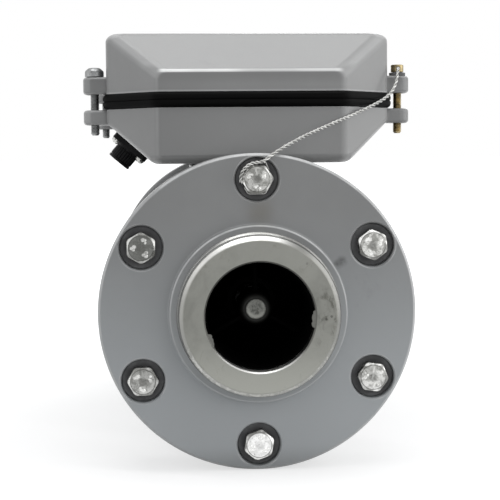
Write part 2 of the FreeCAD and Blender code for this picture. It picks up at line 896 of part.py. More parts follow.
def make_base():
    body = new_body("enclosure_base")
    outline = level(body, base_bottom)
    eight_corners(outline, 0)
    pad(body, outline, s.base_height)
    slopes = station(body, middle)
    for side in (-1, 1):
        outside = half_width * side
        polygon(slopes, [(outside, base_bottom), (outside, base_bottom + s.side_rise),
                         (outside - slope_run * side, base_bottom)])
    pocket(body, slopes, case_length * 2, both_ways=True)
    hollow_case(body, base_top)
    add_lugs(body, lower_lug_bottom, s.lower_lug, s.lid_screw_dia + s.thread_clearance * 2)
    bosses = level(body, base_floor)
    pilots = level(body, board_bottom)
    for u, v in main_board_places():
        circle(bosses, u, v, s.board_boss_dia)
        circle(pilots, u, v, s.board_screw_dia + s.thread_clearance * 2)
    pad(body, bosses, s.board_boss_height)
    pocket(body, pilots, s.board_screw_length)
    holes = level(body, base_floor)
    for u, v in corner_places(0, middle, *base_screw_spacing):
        circle(holes, u, v, s.base_screw_dia + s.base_screw_clearance * 2)
    circle(holes, 0, feed_y, s.feed_dia)
    pocket(body, holes, s.wall)
    tilted = level(body, 0)
    tilted.AttachmentOffset = FreeCAD.Placement(
        FreeCAD.Vector(), FreeCAD.Rotation(FreeCAD.Vector(0, 1, 0), slope_angle))
    slope_x, slope_z = slope_run / 2 - half_width, base_bottom + s.side_rise / 2
    bind(tilted, AttachmentOffset__Base__x=slope_x, AttachmentOffset__Base__y=connector_y,
         AttachmentOffset__Base__z=slope_z)
    circle(tilted, 0, 0, s.connector_tail_dia + s.connector_clearance * 2)
    for u, v in connector_screw_places():
        circle(tilted, u, v, s.connector_screw_dia + s.thread_clearance * 2)
    pocket(body, tilted, s.connector_screw_length * 2, both_ways=True)


def make_base_seal():
    body = new_body("base_seal")
    sheet_outline = level(body, pedestal_top)
    box_outline(sheet_outline, 0, middle, s.pedestal_width, s.pedestal_length)
    for u, v in corner_places(0, middle, *base_screw_spacing):
        circle(sheet_outline, u, v, s.base_screw_dia + s.base_screw_clearance * 2)
    circle(sheet_outline, 0, feed_y, s.feed_dia)
    pad(body, sheet_outline, s.base_seal_thick)
    round_edges(body, is_upright_corner, s.pedestal_round)


def is_upright_corner(edge):
    return is_upright(edge) and isinstance(edge.Curve, Part.Line)


def make_screws(label, seat_z, places, diameter, length, head_dia, head):
    """Round-headed screws that stand upright, with their heads on one plane."""
    body = new_body(label)
    heads, shanks = level(body, seat_z), level(body, seat_z)
    for u, v in places:
        circle(heads, u, v, head_dia)
        circle(shanks, u, v, diameter)
    pad(body, heads, head)
    pad(body, shanks, length, reverse=True)
    return body


def make_gasket():
    body = new_body("enclosure_gasket")
    ridge = base_top + s.gasket_thick / 2
    low, middle_low, middle_high, high = (level(body, z) for z in (base_top, ridge, ridge, lid_bottom))
    eight_corners(low, 0)
    eight_corners(middle_low, s.gasket_bulge)
    eight_corners(middle_high, s.gasket_bulge)
    eight_corners(high, 0)
    loft(body, low, middle_low)
    loft(body, middle_high, high)
    inside = level(body, lid_bottom)
    eight_corners(inside, -s.wall)
    pocket(body, inside, s.gasket_thick)


def make_lid():
    body = new_body("enclosure_lid")
    outline = level(body, lid_bottom)
    eight_corners(outline, 0)
    pad(body, outline, s.lid_height)
    ends = sketch_in(body, "YZ_Plane")
    band_top = lid_bottom + s.band_height
    polygon(ends, [(case_front, band_top), (case_front + slope_run, lid_top), (case_front, lid_top)])
    polygon(ends, [(case_rear, band_top), (case_rear - slope_run, lid_top), (case_rear, lid_top)])
    pocket(body, ends, s.case_width * 2, both_ways=True)
    hollow_case(body, lid_bottom)
    add_lugs(body, lid_bottom, s.upper_lug, s.lid_screw_dia + s.lid_screw_clearance * 2)
    recess = level(body, lid_top)
    box_outline(recess, 0, window_y, s.window_width, s.window_depth)
    pocket(body, recess, s.window_thick + s.window_gasket_thick)
    opening = level(body, lid_top)
    box_outline(opening, 0, window_y, *window_opening)
    circle(opening, 0, button_y, s.button_dia + s.button_clearance * 2)
    pocket(body, opening, s.wall)
    bosses = level(body, lid_ceiling)
    pilots = level(body, display_board_top)
    for u, v in display_board_places():
        circle(bosses, u, v, s.display_boss_dia)
        circle(pilots, u, v, s.board_screw_dia + s.thread_clearance * 2)
    pad(body, bosses, s.display_boss_height, reverse=True)
    pocket(body, pilots, s.board_screw_length, reverse=True)


def make_lid_screws():
    """The three plain lid screws: both on the left, and the rear one on the right."""
    places = [(-lug_x, lug_rows[0]), (-lug_x, lug_rows[1]), (lug_x, lug_rows[1])]
    length = upper_lug_top - lower_lug_bottom + s.lid_screw_tip
    body = make_screws("lid_screws", upper_lug_top, places, s.lid_screw_dia, length,
                       s.lid_screw_head_dia, s.lid_screw_head)
    top = (upper_lug_top + s.lid_screw_head).number
    round_edges(body, lambda edge: abs(edge.BoundBox.ZMin - top) < 1e-4, s.lid_screw_dome)
    slots = level(body, upper_lug_top + s.lid_screw_head)
    for u, v in places:
        box_outline(slots, u, v, s.lid_screw_slot, s.lid_screw_head_dia)
    pocket(body, slots, s.lid_screw_slot_depth)


def make_seal_screw():
    """The drilled screw that the seal wire goes through, on its washer."""
    seat = upper_lug_top + s.seal_washer_thick
    turn = FreeCAD.Rotation(FreeCAD.Vector(0, 0, 1), SEAL_HOLE_TURN)
    body = new_body("seal_screw", lug_x, lug_rows[0], 0, turn)
    head, shank = level(body, seat), level(body, seat)
    circle(head, 0, 0, s.seal_head_dia)
    circle(shank, 0, 0, s.lid_screw_dia)
    pad(body, head, s.seal_head)
    pad(body, shank, seat - lower_lug_bottom + s.lid_screw_tip, reverse=True)
    cross = station(body, 0)
    circle(cross, 0, seat + s.seal_hole_height, s.seal_hole_dia)
    pocket(body, cross, s.seal_head_dia * 2, both_ways=True)
    washer = new_body("seal_washer", lug_x, lug_rows[0])
    ring = level(washer, upper_lug_top)
    circle(ring, 0, 0, s.seal_washer_dia)
    circle(ring, 0, 0, s.lid_screw_dia + s.lid_screw_clearance * 2)
    pad(washer, ring, s.seal_washer_thick)


def make_window():
    width, depth = s.window_width - s.window_clearance * 2, s.window_depth - s.window_clearance * 2
    pane = new_body("window_pane")
    face = level(pane, lid_top)
    box_outline(face, 0, window_y, width, depth)
    pad(pane, face, s.window_thick, reverse=True)
    gasket = new_body("window_gasket")
    frame = level(gasket, lid_top - s.window_thick)
    box_outline(frame, 0, window_y, width, depth)
    box_outline(frame, 0, window_y, *window_opening)
    pad(gasket, frame, s.window_gasket_thick, reverse=True)


def display_board_places():
    inset = s.display_boss_inset * 2
    return corner_places(0, middle, display_board_width - inset, display_board_length - inset)


def main_board_places():
    inset = s.board_boss_inset * 2
    return corner_places(0, board_middle, board_width - inset, board_length - inset)


def make_board(label, bottom_z, v, width, length, places):
    body = new_body(label)
    plate = level(body, bottom_z)
    box_outline(plate, 0, v, width, length)
    for a, b in places:
        circle(plate, a, b, s.board_screw_dia + s.bolt_clearance)
    pad(body, plate, s.board_thick)
    return body


def make_display():
    make_board("display_board", display_board_top - s.board_thick, middle, display_board_width,
               display_board_length, display_board_places())
    module = new_body("display_module")
    face = level(module, display_board_top)
    width, depth = window_opening
    box_outline(face, 0, window_y, width - s.display_margin * 2, depth - s.display_margin * 2)
    pad(module, face, s.display_boss_height - s.display_gap)
    top = (lid_ceiling - s.display_gap).number
    bevel_edges(module, lambda edge: abs(edge.BoundBox.ZMin - top) < 1e-4, s.display_bevel)
    screws = new_body("display_screws")
    heads, shanks = (level(screws, display_board_top - s.board_thick) for _ in range(2))
    for u, v in display_board_places():
        circle(heads, u, v, s.board_screw_head_dia)
        circle(shanks, u, v, s.board_screw_dia)
    pad(screws, heads, s.board_screw_head, reverse=True)
    pad(screws, shanks, s.board_screw_length)


def make_button():
    body = new_body("display_button", y=button_y)
    profile = station(body, 0)
    cap, stem = s.button_dia / 2, s.button_stem_dia / 2
    flange = cap + s.button_flange
    stem_end = display_board_top + s.switch_height + s.switch_gap + s.button_travel
    flange_low = lid_ceiling - s.button_flange_thick
    top = lid_top + s.button_rise
    polygon(profile, [(0, stem_end), (stem, stem_end), (stem, flange_low), (flange, flange_low),
                      (flange, lid_ceiling), (cap, lid_ceiling), (cap, top), (0, top)])
    revolve(body, profile)
    round_edges(body, lambda edge: abs(edge.BoundBox.ZMin - top.number) < 1e-4, s.button_round)
    switch = new_body("button_switch")
    block = level(switch, display_board_top)
    box_outline(block, 0, button_y, s.switch_width, s.switch_width)
    pad(switch, block, s.switch_height)


def add_shape(label, shape, y=0, z=0):
    item = doc.addObject("Part::Feature", label)
    item.Label = label
    item.Shape = shape
    bind(item, Placement__Base__y=y, Placement__Base__z=z)
    parts.append(item)


def make_button_spring():
    """A coil spring of square wire between the display board and the button's flange."""
    wire = s.spring_wire.number
    room = s.display_boss_height.number - s.button_flange_thick.number
    rise = room - wire
    coil = Part.makeHelix(rise / s.spring_turns.number, rise, s.spring_dia.number / 2)
    start = coil.Edges[0].valueAt(coil.Edges[0].FirstParameter)
    square = ((-1, -1), (1, -1), (1, 1), (-1, 1), (-1, -1))
    section = Part.makePolygon([start + FreeCAD.Vector(a, 0, b) * (wire / 2) for a, b in square])
    spring = Part.Wire(coil.Edges).makePipeShell([section], True, True)
    add_shape("button_spring", spring, button_y, display_board_top + s.spring_wire / 2)


def make_main_board():
    board = make_board("main_board", board_bottom, board_middle, board_width, board_length,
                       main_board_places())
    strip = level(board, board_bottom + s.board_thick)
    box_outline(strip, 0, board_front + s.terminal_depth, s.terminal_width, s.terminal_depth)
    pad(board, strip, s.terminal_height)
    make_screws("board_screws", board_bottom + s.board_thick, main_board_places(), s.board_screw_dia,
                s.board_screw_length, s.board_screw_head_dia, s.board_screw_head)


def make_battery():
    """Two lithium cells side by side in a tray that stands clear of the base screws."""
    holder = new_body("battery_holder")
    plate_low = base_floor + s.holder_leg
    plate_top = plate_low + s.holder_plate
    start, end = holder_start, holder_end
    length = end - start
    width = s.cell_dia * 2 + s.cell_gap + s.cell_seat * 2
    plate = level(holder, plate_low)
    box_outline(plate, 0, (start + end) / 2, width, length)
    pad(holder, plate, s.holder_plate)
    legs = level(holder, base_floor)
    inset = s.holder_leg_width
    for u, v in corner_places(0, (start + end) / 2, width - inset, length - inset):
        box_outline(legs, u, v, s.holder_leg_width, s.holder_leg_width)
    pad(holder, legs, s.holder_leg)
    walls = level(holder, plate_top)
    for v in (start + s.holder_wall / 2, end - s.holder_wall / 2):
        box_outline(walls, 0, v, width, s.holder_wall)
    pad(holder, walls, s.holder_wall_height)
    cells = new_body("battery_cells")
    faces = station(cells, end - s.holder_wall - s.cell_seat)
    cell_height = plate_top + s.cell_dia / 2 + s.cell_seat
    for side in (-1, 1):
        circle(faces, (s.cell_dia + s.cell_gap) * (side / 2), cell_height, s.cell_dia)
    pad(cells, faces, s.cell_length)


# Connector, in its own frame: its axis is Z, pointing out of the slope


def connector_screw_places():
    return corner_places(0, 0, s.connector_screw_spacing, s.connector_screw_spacing)


def connector_body(label):
    turn = FreeCAD.Rotation(FreeCAD.Vector(0, 1, 0), slope_angle + 180)
    slope_x, slope_z = slope_run / 2 - half_width, base_bottom + s.side_rise / 2
    return new_body(label, slope_x, connector_y, slope_z, turn)


def connector_square(body, start, thick, centre_hole):
    outline = level(body, start)
    box_outline(outline, 0, 0, s.connector_plate, s.connector_plate)
    if centre_hole:
        circle(outline, 0, 0, centre_hole)
    for u, v in connector_screw_places():
        circle(outline, u, v, s.connector_screw_dia + s.thread_clearance * 2)
    pad(body, outline, thick)


def make_connector():
    gasket_top = s.connector_gasket_thick
    plate_top = gasket_top + s.connector_plate_thick
    rim = plate_top + s.connector_reach
    gasket = connector_body("connector_gasket")
    connector_square(gasket, 0, s.connector_gasket_thick, s.connector_tail_dia + s.connector_clearance * 2)
    shell_body = connector_body("connector_shell")
    connector_square(shell_body, gasket_top, s.connector_plate_thick, None)
    barrel = level(shell_body, plate_top)
    circle(barrel, 0, 0, s.connector_dia)
    pad(shell_body, barrel, s.connector_reach)
    tail = level(shell_body, gasket_top)
    circle(tail, 0, 0, s.connector_tail_dia)
    pad(shell_body, tail, s.connector_tail, reverse=True)
    socket = level(shell_body, rim)
    circle(socket, 0, 0, s.connector_bore)
    pocket(shell_body, socket, s.connector_depth)
    insert = connector_body("connector_insert")
    floor = rim - s.connector_depth
    disc = level(insert, floor)
    circle(disc, 0, 0, s.connector_bore - s.connector_clearance)
    pad(insert, disc, s.insert_thick)
    pins = level(insert, floor + s.insert_thick)
    for u, v in ring_places(count_of(s.pin_count), s.pin_circle / 2):
        circle(pins, u, v, s.pin_dia)
    pad(insert, pins, s.pin_height)
    screws = connector_body("connector_screws")
    heads, shanks = level(screws, plate_top), level(screws, plate_top)
    for u, v in connector_screw_places():
        circle(heads, u, v, s.connector_screw_head_dia)
        circle(shanks, u, v, s.connector_screw_dia)
    pad(screws, heads, s.connector_screw_head)
    pad(screws, shanks, s.connector_screw_length, reverse=True)


# Seal wire


def rounded_route(points):
    """Straight runs joined by tangent arcs, each as large as its two runs allow."""
    corners = [FreeCAD.Vector(*point) for point in points]
    edges = []
    here = corners[0]
    for before, corner, after in zip(corners, corners[1:], corners[2:]):
        back, ahead = before - corner, after - corner
        shorter = min(back.Length, ahead.Length)
        back.normalize()
        ahead.normalize()
        turn = math.pi - back.getAngle(ahead)
        reach = 0.45 * shorter
        radius = reach / math.tan(turn / 2)
        print(f"wire bend radius {radius:.1f} mm, turn {math.degrees(turn):.0f} degrees")
        start, end = corner + back * reach, corner + ahead * reach
        inward = back + ahead
        inward.normalize()
        crest = corner + inward * (radius / math.cos(turn / 2) - radius)
        edges.append(Part.LineSegment(here, start).toShape())
        edges.append(Part.Arc(start, crest, end).toShape())
        here = end
    edges.append(Part.LineSegment(here, corners[-1]).toShape())
    return Part.Wire(edges)


def wire_route():
    """The wire's points, from the seal screw's cross hole to the loop on the top cover bolt."""
    hole_z = upper_lug_top + s.seal_washer_thick + s.seal_hole_height
    runs = ((WIRE_FROM_SCREW, (lug_x, lug_rows[0], hole_z)), (WIRE_TO_BOLT, (0, cover_face, bolt_row)))
    return [[number_of(a) + b for a, b in zip(anchor, step)] for steps, anchor in runs for step in steps]


def make_seal_wire():
    path = rounded_route(wire_route())
    first = path.Edges[0]
    start = first.valueAt(first.FirstParameter)
    section = Part.Circle(start, first.tangentAt(first.FirstParameter), s.wire_dia.number / 2)
    tube = path.makePipeShell([Part.Wire([section.toShape()])], True, True)
    ideal = math.pi * s.wire_dia.number ** 2 / 4 * path.Length
    print(f"seal wire {path.Length:.1f} mm long, volume {tube.Volume:.1f} of {ideal:.1f} cubic mm")
    add_shape("seal_wire", tube)


def make_seal_loop():
    """The wire's loop round the top cover bolt's head, just clear of the cover's face."""
    loop = doc.addObject("Part::Torus", "seal_wire_loop")
    loop.Label = "seal_wire_loop"
    loop.Placement = FreeCAD.Placement(FreeCAD.Vector(), FreeCAD.Rotation(FreeCAD.Vector(1, 0, 0), 90))
    radius = s.bolt_flats / math.sqrt(3) + s.loop_gap + s.loop_wire_dia / 2
    bind(loop, Radius1=radius, Radius2=s.loop_wire_dia / 2, Placement__Base__z=bolt_row,
         Placement__Base__y=cover_face - s.loop_inset)
    parts.append(loop)


def make_all():
    make_barrel()
    make_pedestal()
    for end in ("inlet", "outlet"):
        make_flange(end)
        make_cover(end)
        make_nozzle(end)
        make_cover_seal(end)
        make_cover_bolts(end)
        make_cover_washers(end)
        make_liner(end)
        make_carrier(end)
        make_transducer(end)
    make_tube_plate()
    make_measuring_tube()
    make_tube_gasket()
    make_tube_screws()
    make_feedthrough()
    make_base_seal()
    make_base()
    make_screws("base_screws", base_floor, corner_places(0, middle, *base_screw_spacing), s.base_screw_dia,
                s.base_screw_length, s.base_screw_head_dia, s.base_screw_head)
    make_gasket()
    make_lid()
    make_lid_screws()
    make_seal_screw()
    make_window()
    make_display()
    make_button()
    make_button_spring()
    make_main_board()
    make_battery()
    make_connector()
    make_seal_wire()
    make_seal_loop()


def check_and_write():
    """Stop at any failed object or broken shape, then write one file for each sub-part."""
    doc.recompute()
    for item in doc.Objects:
        if "Invalid" in item.State or "Error" in item.State:
            raise RuntimeError(f"{item.Label} failed: {item.State}")
    for item in parts:
        if item.Shape.isNull() or not item.Shape.isValid() or not item.Shape.Solids:
            raise RuntimeError(f"{item.Label} has no valid solid")
    os.makedirs("parts", exist_ok=True)
    for item in parts:
        item.Shape.exportStep(f"parts/{item.Label}.step")
        print(item.Label, len(item.Shape.Solids), round(item.Shape.Volume))


make_all()
check_and_write()
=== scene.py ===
import functools
import itertools
import json
import math

import bmesh
import bpy
from mathutils import Matrix, Vector


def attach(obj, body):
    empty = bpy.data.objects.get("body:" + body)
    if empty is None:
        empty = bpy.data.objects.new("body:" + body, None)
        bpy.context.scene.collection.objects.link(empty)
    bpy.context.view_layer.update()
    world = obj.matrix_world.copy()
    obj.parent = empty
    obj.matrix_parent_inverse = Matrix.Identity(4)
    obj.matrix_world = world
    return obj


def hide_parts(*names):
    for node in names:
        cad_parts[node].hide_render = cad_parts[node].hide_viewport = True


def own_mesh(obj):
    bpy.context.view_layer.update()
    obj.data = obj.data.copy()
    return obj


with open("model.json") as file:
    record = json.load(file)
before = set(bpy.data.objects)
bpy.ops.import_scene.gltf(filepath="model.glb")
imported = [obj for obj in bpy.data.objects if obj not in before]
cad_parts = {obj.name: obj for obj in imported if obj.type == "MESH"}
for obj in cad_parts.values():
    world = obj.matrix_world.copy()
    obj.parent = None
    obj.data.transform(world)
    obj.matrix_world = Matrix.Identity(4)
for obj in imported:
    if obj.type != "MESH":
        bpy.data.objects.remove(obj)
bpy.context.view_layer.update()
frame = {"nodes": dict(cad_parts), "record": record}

# Sizes in millimetres; the pipe lies along Y, and the inlet boss face is at nought
MM = 0.001
GAP = 0.05               # between pieces that are welded or pressed together
OVERALL = 272.0          # from boss face to boss face
MIDDLE = OVERALL / 2
PIPE_RADIUS, PIPE_END, PIPE_FOOT = 40.0, -12.0, 46.0
BOSS_RADIUS, BOSS_RISE = 44.5, 6.0
COVER_RADIUS, COVER_BACK, FLANGE_BACK = 80.0, 24.0, 40.0
BARREL_RADIUS, BARREL_BORE = 60.5, 52.0
BOLT_ROW, BOLT_SEAT = 67.0, 9.4
HEAD_FLATS, HEAD_CORNER = 14.0, 7.8
BOLT_TURNS = (0, 30, 0, 20, 52, 37)
MARK_TURNS = (270, 62, 20, 80, 45, 15)
CASE_X, CASE_Y = 77.0, 94.0
CORNER, SLOPE_RUN, WALL = 27.5, 25.5, 4.0
LUG_X, LUG_RADIUS = 83.7, 6.18
LUG_ROWS = (78.0, 194.0)
LID_SCREWS = ((-LUG_X, LUG_ROWS[0]), (-LUG_X, LUG_ROWS[1]), (LUG_X, LUG_ROWS[1]))
SEAL_SCREW = (LUG_X, LUG_ROWS[0])
BASE_LOW, BASE_SLOPE, BASE_TOP = 74.6, 96.6, 104.0
LID_LOW, LID_BAND, LID_TOP = 112.4, 123.3, 145.0
LUGS_LOW, LUGS_TOP = 95.9, 121.9
WINDOW_Y, BUTTON_Y = 118.0, 166.0
SMOOTH = 32              # edges that turn by fewer degrees are shaded smooth


def ring_places(count, radius):
    """Places round an axis, as two coordinates."""
    angles = [math.radians(90 + 360 * k / count) for k in range(count)]
    return [(radius * math.cos(a), radius * math.sin(a)) for a in angles]


def face_through(normal, point):
    """A flat face: its normal and its distance from the origin."""
    normal = Vector(normal).normalized()
    return normal, normal.dot(Vector(point))


BOLT_PLACES = ring_places(6, BOLT_ROW)

# The enclosure's sharp outline, folded onto one quarter
CASE_OUTLINE = (
    face_through((1, 0, 0), (CASE_X, 0, 0)),
    face_through((0, 1, 0), (0, CASE_Y, 0)),
    face_through((1, 1, 0), (CASE_X, CASE_Y - CORNER, 0)),
    face_through((0, LID_TOP - LID_BAND, SLOPE_RUN), (0, CASE_Y, LID_BAND)),
    face_through((0, 0, 1), (0, 0, LID_TOP)),
    face_through((BASE_SLOPE - BASE_LOW, 0, -SLOPE_RUN), (CASE_X, 0, BASE_SLOPE)),
    face_through((0, 0, -1), (0, 0, BASE_LOW)),
)

scene = bpy.context.scene
scene.view_settings.view_transform = "Standard"


def put(name, data):
    """A new object in the scene."""
    made = bpy.data.objects.new(name, data)
    scene.collection.objects.link(made)
    return made


def grey(value, blue=None):
    """A grey, or one with a little more or less blue."""
    return value, value, value if blue is None else blue


def times(colour, factor):
    return tuple(min(1.0, c * factor) for c in colour)


class Nodes:
    """A tree of shader nodes."""

    def __init__(self, owner):
        owner.use_nodes = True
        self.tree = owner.node_tree

    def feed(self, socket, value):
        """Link a socket to another, or set it to a constant."""
        if isinstance(value, bpy.types.NodeSocket):
            self.tree.links.new(value, socket)
        elif socket.type == "RGBA":
            socket.default_value = (*value, 1)
        else:
            socket.default_value = value

    def node(self, kind, *values, settings=None, **inputs):
        """A new node; values feed its first inputs in order, and others by name, with _ for a blank."""
        made = self.tree.nodes.new("ShaderNode" + kind)
        for key, value in (settings or {}).items():
            setattr(made, key, value)
        for index, value in enumerate(values):
            self.feed(made.inputs[index], value)
        for key, value in inputs.items():
            self.feed(made.inputs[key.replace("_", " ")], value)
        return made

    def math(self, operation, a, b=0.0):
        return self.node("Math", a, b, settings={"operation": operation}).outputs[0]

    def vector(self, operation, *values):
        """A sum on vectors whose answer is one number."""
        return self.node("VectorMath", *values, settings={"operation": operation}).outputs["Value"]

    def chain(self, operation, values):
        return functools.reduce(functools.partial(self.math, operation), values)

    def seen_directly(self):
        """One for rays that look at the background, straight or in a reflection, and nought for others."""
        path = self.node("LightPath").outputs
        return self.chain("MAXIMUM", [path[f"Is {kind} Ray"] for kind in ("Camera", "Glossy", "Transmission")])


# Camera, floor and light


def set_camera():
    """The photograph's camera: where it stood, where it looked and its focal length."""
    yaw, pitch, roll = (math.radians(angle) for angle in (3.67, 4.53, 0.52))
    ahead = Vector((math.sin(yaw) * math.cos(pitch), math.cos(yaw) * math.cos(pitch), -math.sin(pitch)))
    right = Vector((math.cos(yaw), -math.sin(yaw), 0))
    up = right.cross(ahead)
    turned_right = right * math.cos(roll) - up * math.sin(roll)
    turned_up = right * math.sin(roll) + up * math.cos(roll)
    data = bpy.data.cameras.new("camera")
    data.sensor_width = 36
    data.lens = 88.36
    data.clip_start = 0.01
    scene.camera = put("camera", data)
    axes = Matrix((turned_right, turned_up, -ahead)).transposed().to_4x4()
    scene.camera.matrix_world = Matrix.Translation((-0.04287, -0.60354, 0.08011)) @ axes


def set_world(ambient):
    """A pale sky that lights the object, and plain white where it is looked at."""
    scene.world = bpy.data.worlds.new("studio")
    nodes = Nodes(scene.world)
    soft = nodes.tree.nodes["Background"]
    nodes.feed(soft.inputs["Color"], (0.96, 0.98, 1.0))
    nodes.feed(soft.inputs["Strength"], ambient)
    white = nodes.node("Background", Color=grey(1), Strength=1)
    mix = nodes.node("MixShader", nodes.seen_directly(), soft.outputs[0], white.outputs[0])
    nodes.feed(nodes.tree.nodes["World Output"].inputs["Surface"], mix.outputs[0])


def set_floor(height, near_glow):
    """A white floor that fades into the background away from the object."""
    size = 30.0
    corners = [(-size, -size, height), (size, -size, height), (size, size, height), (-size, size, height)]
    mesh = bpy.data.meshes.new("floor")
    mesh.from_pydata(corners, [], [(0, 1, 2, 3)])
    floor = put("floor", mesh)
    material = bpy.data.materials.new("floor")
    nodes = Nodes(material)
    nodes.tree.nodes.remove(nodes.tree.nodes["Principled BSDF"])
    matt = nodes.node("BsdfDiffuse", Color=grey(0.42))
    away = nodes.vector("LENGTH", nodes.node("TexCoord").outputs["Object"])
    growing = nodes.node("MapRange", away, 0.25, 0.9, near_glow, 1.0)
    glow = nodes.node("Emission", Strength=growing.outputs[0])
    none = nodes.node("Emission", Strength=0)
    lift = nodes.node("MixShader", nodes.seen_directly(), none.outputs[0], glow.outputs[0])
    both = nodes.node("AddShader", matt.outputs[0], lift.outputs[0])
    nodes.feed(nodes.tree.nodes["Material Output"].inputs["Surface"], both.outputs[0])
    mesh.materials.append(material)


def add_lamp(name, place, target, size, power):
    data = bpy.data.lights.new(name, "AREA")
    data.shape = "RECTANGLE"
    data.size, data.size_y = size
    data.energy = power
    lamp = put(name, data)
    lamp.location = place
    lamp.rotation_euler = (Vector(target) - Vector(place)).to_track_quat("-Z", "Y").to_euler()


# Lamps, as (name, place, target, size, power)
LAMPS = (
    ("overhead", (0.0, 0.25, 1.45), (0, 0.10, 0.08), (1.2, 0.5), 5.8),
    ("strip", (-0.1, -0.17, 1.35), (0, 0.0, 0.06), (1.2, 0.12), 4),
    ("left", (-1.3, -0.25, 0.5), (0, 0.06, 0.04), (1.1, 1.2), 1.6),
    ("right", (1.3, -0.15, 0.5), (0, 0.08, 0.06), (1.1, 1.2), 6.6),
    ("front_right", (0.5, -0.7, 0.22), (0.06, 0, 0.04), (0.4, 0.4), 0.5),
    ("rear", (0.5, 1.7, 0.8), (0, 0.14, 0.05), (0.9, 0.7), 5),
)
set_camera()
set_world(ambient=0.58)
set_floor(height=-0.0803, near_glow=0.64)
for lamp_row in LAMPS:
    add_lamp(*lamp_row)


# Materials


class Look(Nodes):
    """A procedural material: one shader, the colour laid on so far, and masks in millimetres."""

    def __init__(self, name, base, **sockets):
        self.material = bpy.data.materials.new(name)
        super().__init__(self.material)
        self.shader = self.tree.nodes["Principled BSDF"]
        self.base = base
        self.coords = self.node("TexCoord").outputs["Object"]
        scaled = self.node("VectorMath", self.coords, grey(1 / MM), settings={"operation": "MULTIPLY"})
        self.place = scaled.outputs[0]
        for socket, value in sockets.items():
            self.feed(self.shader.inputs[socket.replace("_", " ")], value)

    def noise(self, scale, detail=3.0, rough=0.55, stretch=None, distort=0.0):
        where = self.coords
        if stretch:
            where = self.node("Mapping", Vector=where, Scale=stretch).outputs[0]
        return self.node("TexNoise", Vector=where, Scale=scale, Detail=detail, Roughness=rough,
                         Distortion=distort).outputs[0]

    def cells(self, scale, feature="F1"):
        """The distance from the nearest of some scattered points, or from the edge of its cell."""
        made = self.node("TexVoronoi", settings={"feature": feature}, Vector=self.coords, Scale=scale)
        return made.outputs["Distance"]

    def spread(self, value, low, high, to_low, to_high):
        """Map a stretch of a value onto another, and clamp it."""
        settings = {"interpolation_type": "SMOOTHSTEP"}
        return self.node("MapRange", value, low, high, to_low, to_high, settings=settings).outputs[0]

    def rise(self, value, low, high):
        return self.spread(value, low, high, 0, 1)

    def fall(self, value, low, high):
        return self.spread(value, low, high, 1, 0)

    def both(self, *masks):
        return self.chain("MULTIPLY", masks)

    def apart(self, value, middle=0.0):
        """How far a value lies from a middle one, either way."""
        return self.math("ABSOLUTE", self.math("SUBTRACT", value, middle))

    def band(self, value, middle, half, soft):
        """One within half a width of a middle value, and nought past a soft edge."""
        return self.fall(self.apart(value, middle), half, half + soft)

    def blend(self, factor, a, b, mode="MIX"):
        made = self.node("Mix", settings={"data_type": "RGBA", "blend_type": mode})
        for index, value in ((0, factor), (6, a), (7, b)):
            self.feed(made.inputs[index], value)
        return made.outputs[2]

    def paint(self, tone, *masks, mode="MIX"):
        """Lay a tone over the colour so far, where all the masks let it."""
        self.base = self.blend(self.both(*masks), self.base, tone, mode)

    def shade(self, tone, *masks):
        """Darken the colour so far by a tone, or lighten it."""
        self.paint(tone, *masks, mode="MULTIPLY")

    def axes(self):
        return self.node("SeparateXYZ", self.place).outputs

    def from_line(self, x, z):
        """The distance from a line along the pipe."""
        here_x, _, here_z = self.axes()
        return self.vector("DISTANCE", self.node("CombineXYZ", X=here_x, Z=here_z).outputs[0], (x, 0, z))

    def pipe_radius(self):
        return self.from_line(0, 0)

    def from_bolt(self):
        """The distance from the axis of the nearest cover bolt."""
        return self.chain("MINIMUM", [self.from_line(x, z) for x, z in BOLT_PLACES])

    def from_end(self):
        """How far inward a point lies from the nearer boss face."""
        _, y, _ = self.axes()
        return self.math("SUBTRACT", MIDDLE, self.apart(y, MIDDLE))

    def normal(self):
        return self.node("NewGeometry").outputs["Normal"]

    def facing_pipe(self):
        """How far a face looks along the pipe, either way."""
        return self.math("ABSOLUTE", self.vector("DOT_PRODUCT", self.normal(), (0, 1, 0)))

    def rounding(self):
        """How deep the enclosure's surface lies under its sharp outline: above nought on rounded edges."""
        x, y, z = self.axes()
        folded = self.node("CombineXYZ", self.apart(x), self.apart(y, MIDDLE), z).outputs[0]
        over = [self.math("SUBTRACT", self.vector("DOT_PRODUCT", folded, normal), distance)
                for normal, distance in CASE_OUTLINE]
        return self.math("MULTIPLY", self.chain("MAXIMUM", over), -1.0)

    def edge(self, radius):
        """About nought on flat faces, and more near an edge."""
        soft = self.node("Bevel", settings={"samples": 4}, Radius=radius * MM).outputs[0]
        return self.math("SUBTRACT", 1.0, self.vector("DOT_PRODUCT", soft, self.normal()))

    def finish(self, rough, *bumps):
        """Connect the colour, the roughness and a chain of (height, distance, strength) bumps."""
        self.feed(self.shader.inputs["Base Color"], self.base)
        self.feed(self.shader.inputs["Roughness"], rough)
        normal = None
        for height, distance, strength in bumps:
            made = self.node("Bump", Height=height, Distance=distance * MM, Strength=strength)
            if normal is not None:
                self.feed(made.inputs["Normal"], normal)
            normal = made.outputs[0]
        if normal is not None:
            self.feed(self.shader.inputs["Normal"], normal)
        return self.material


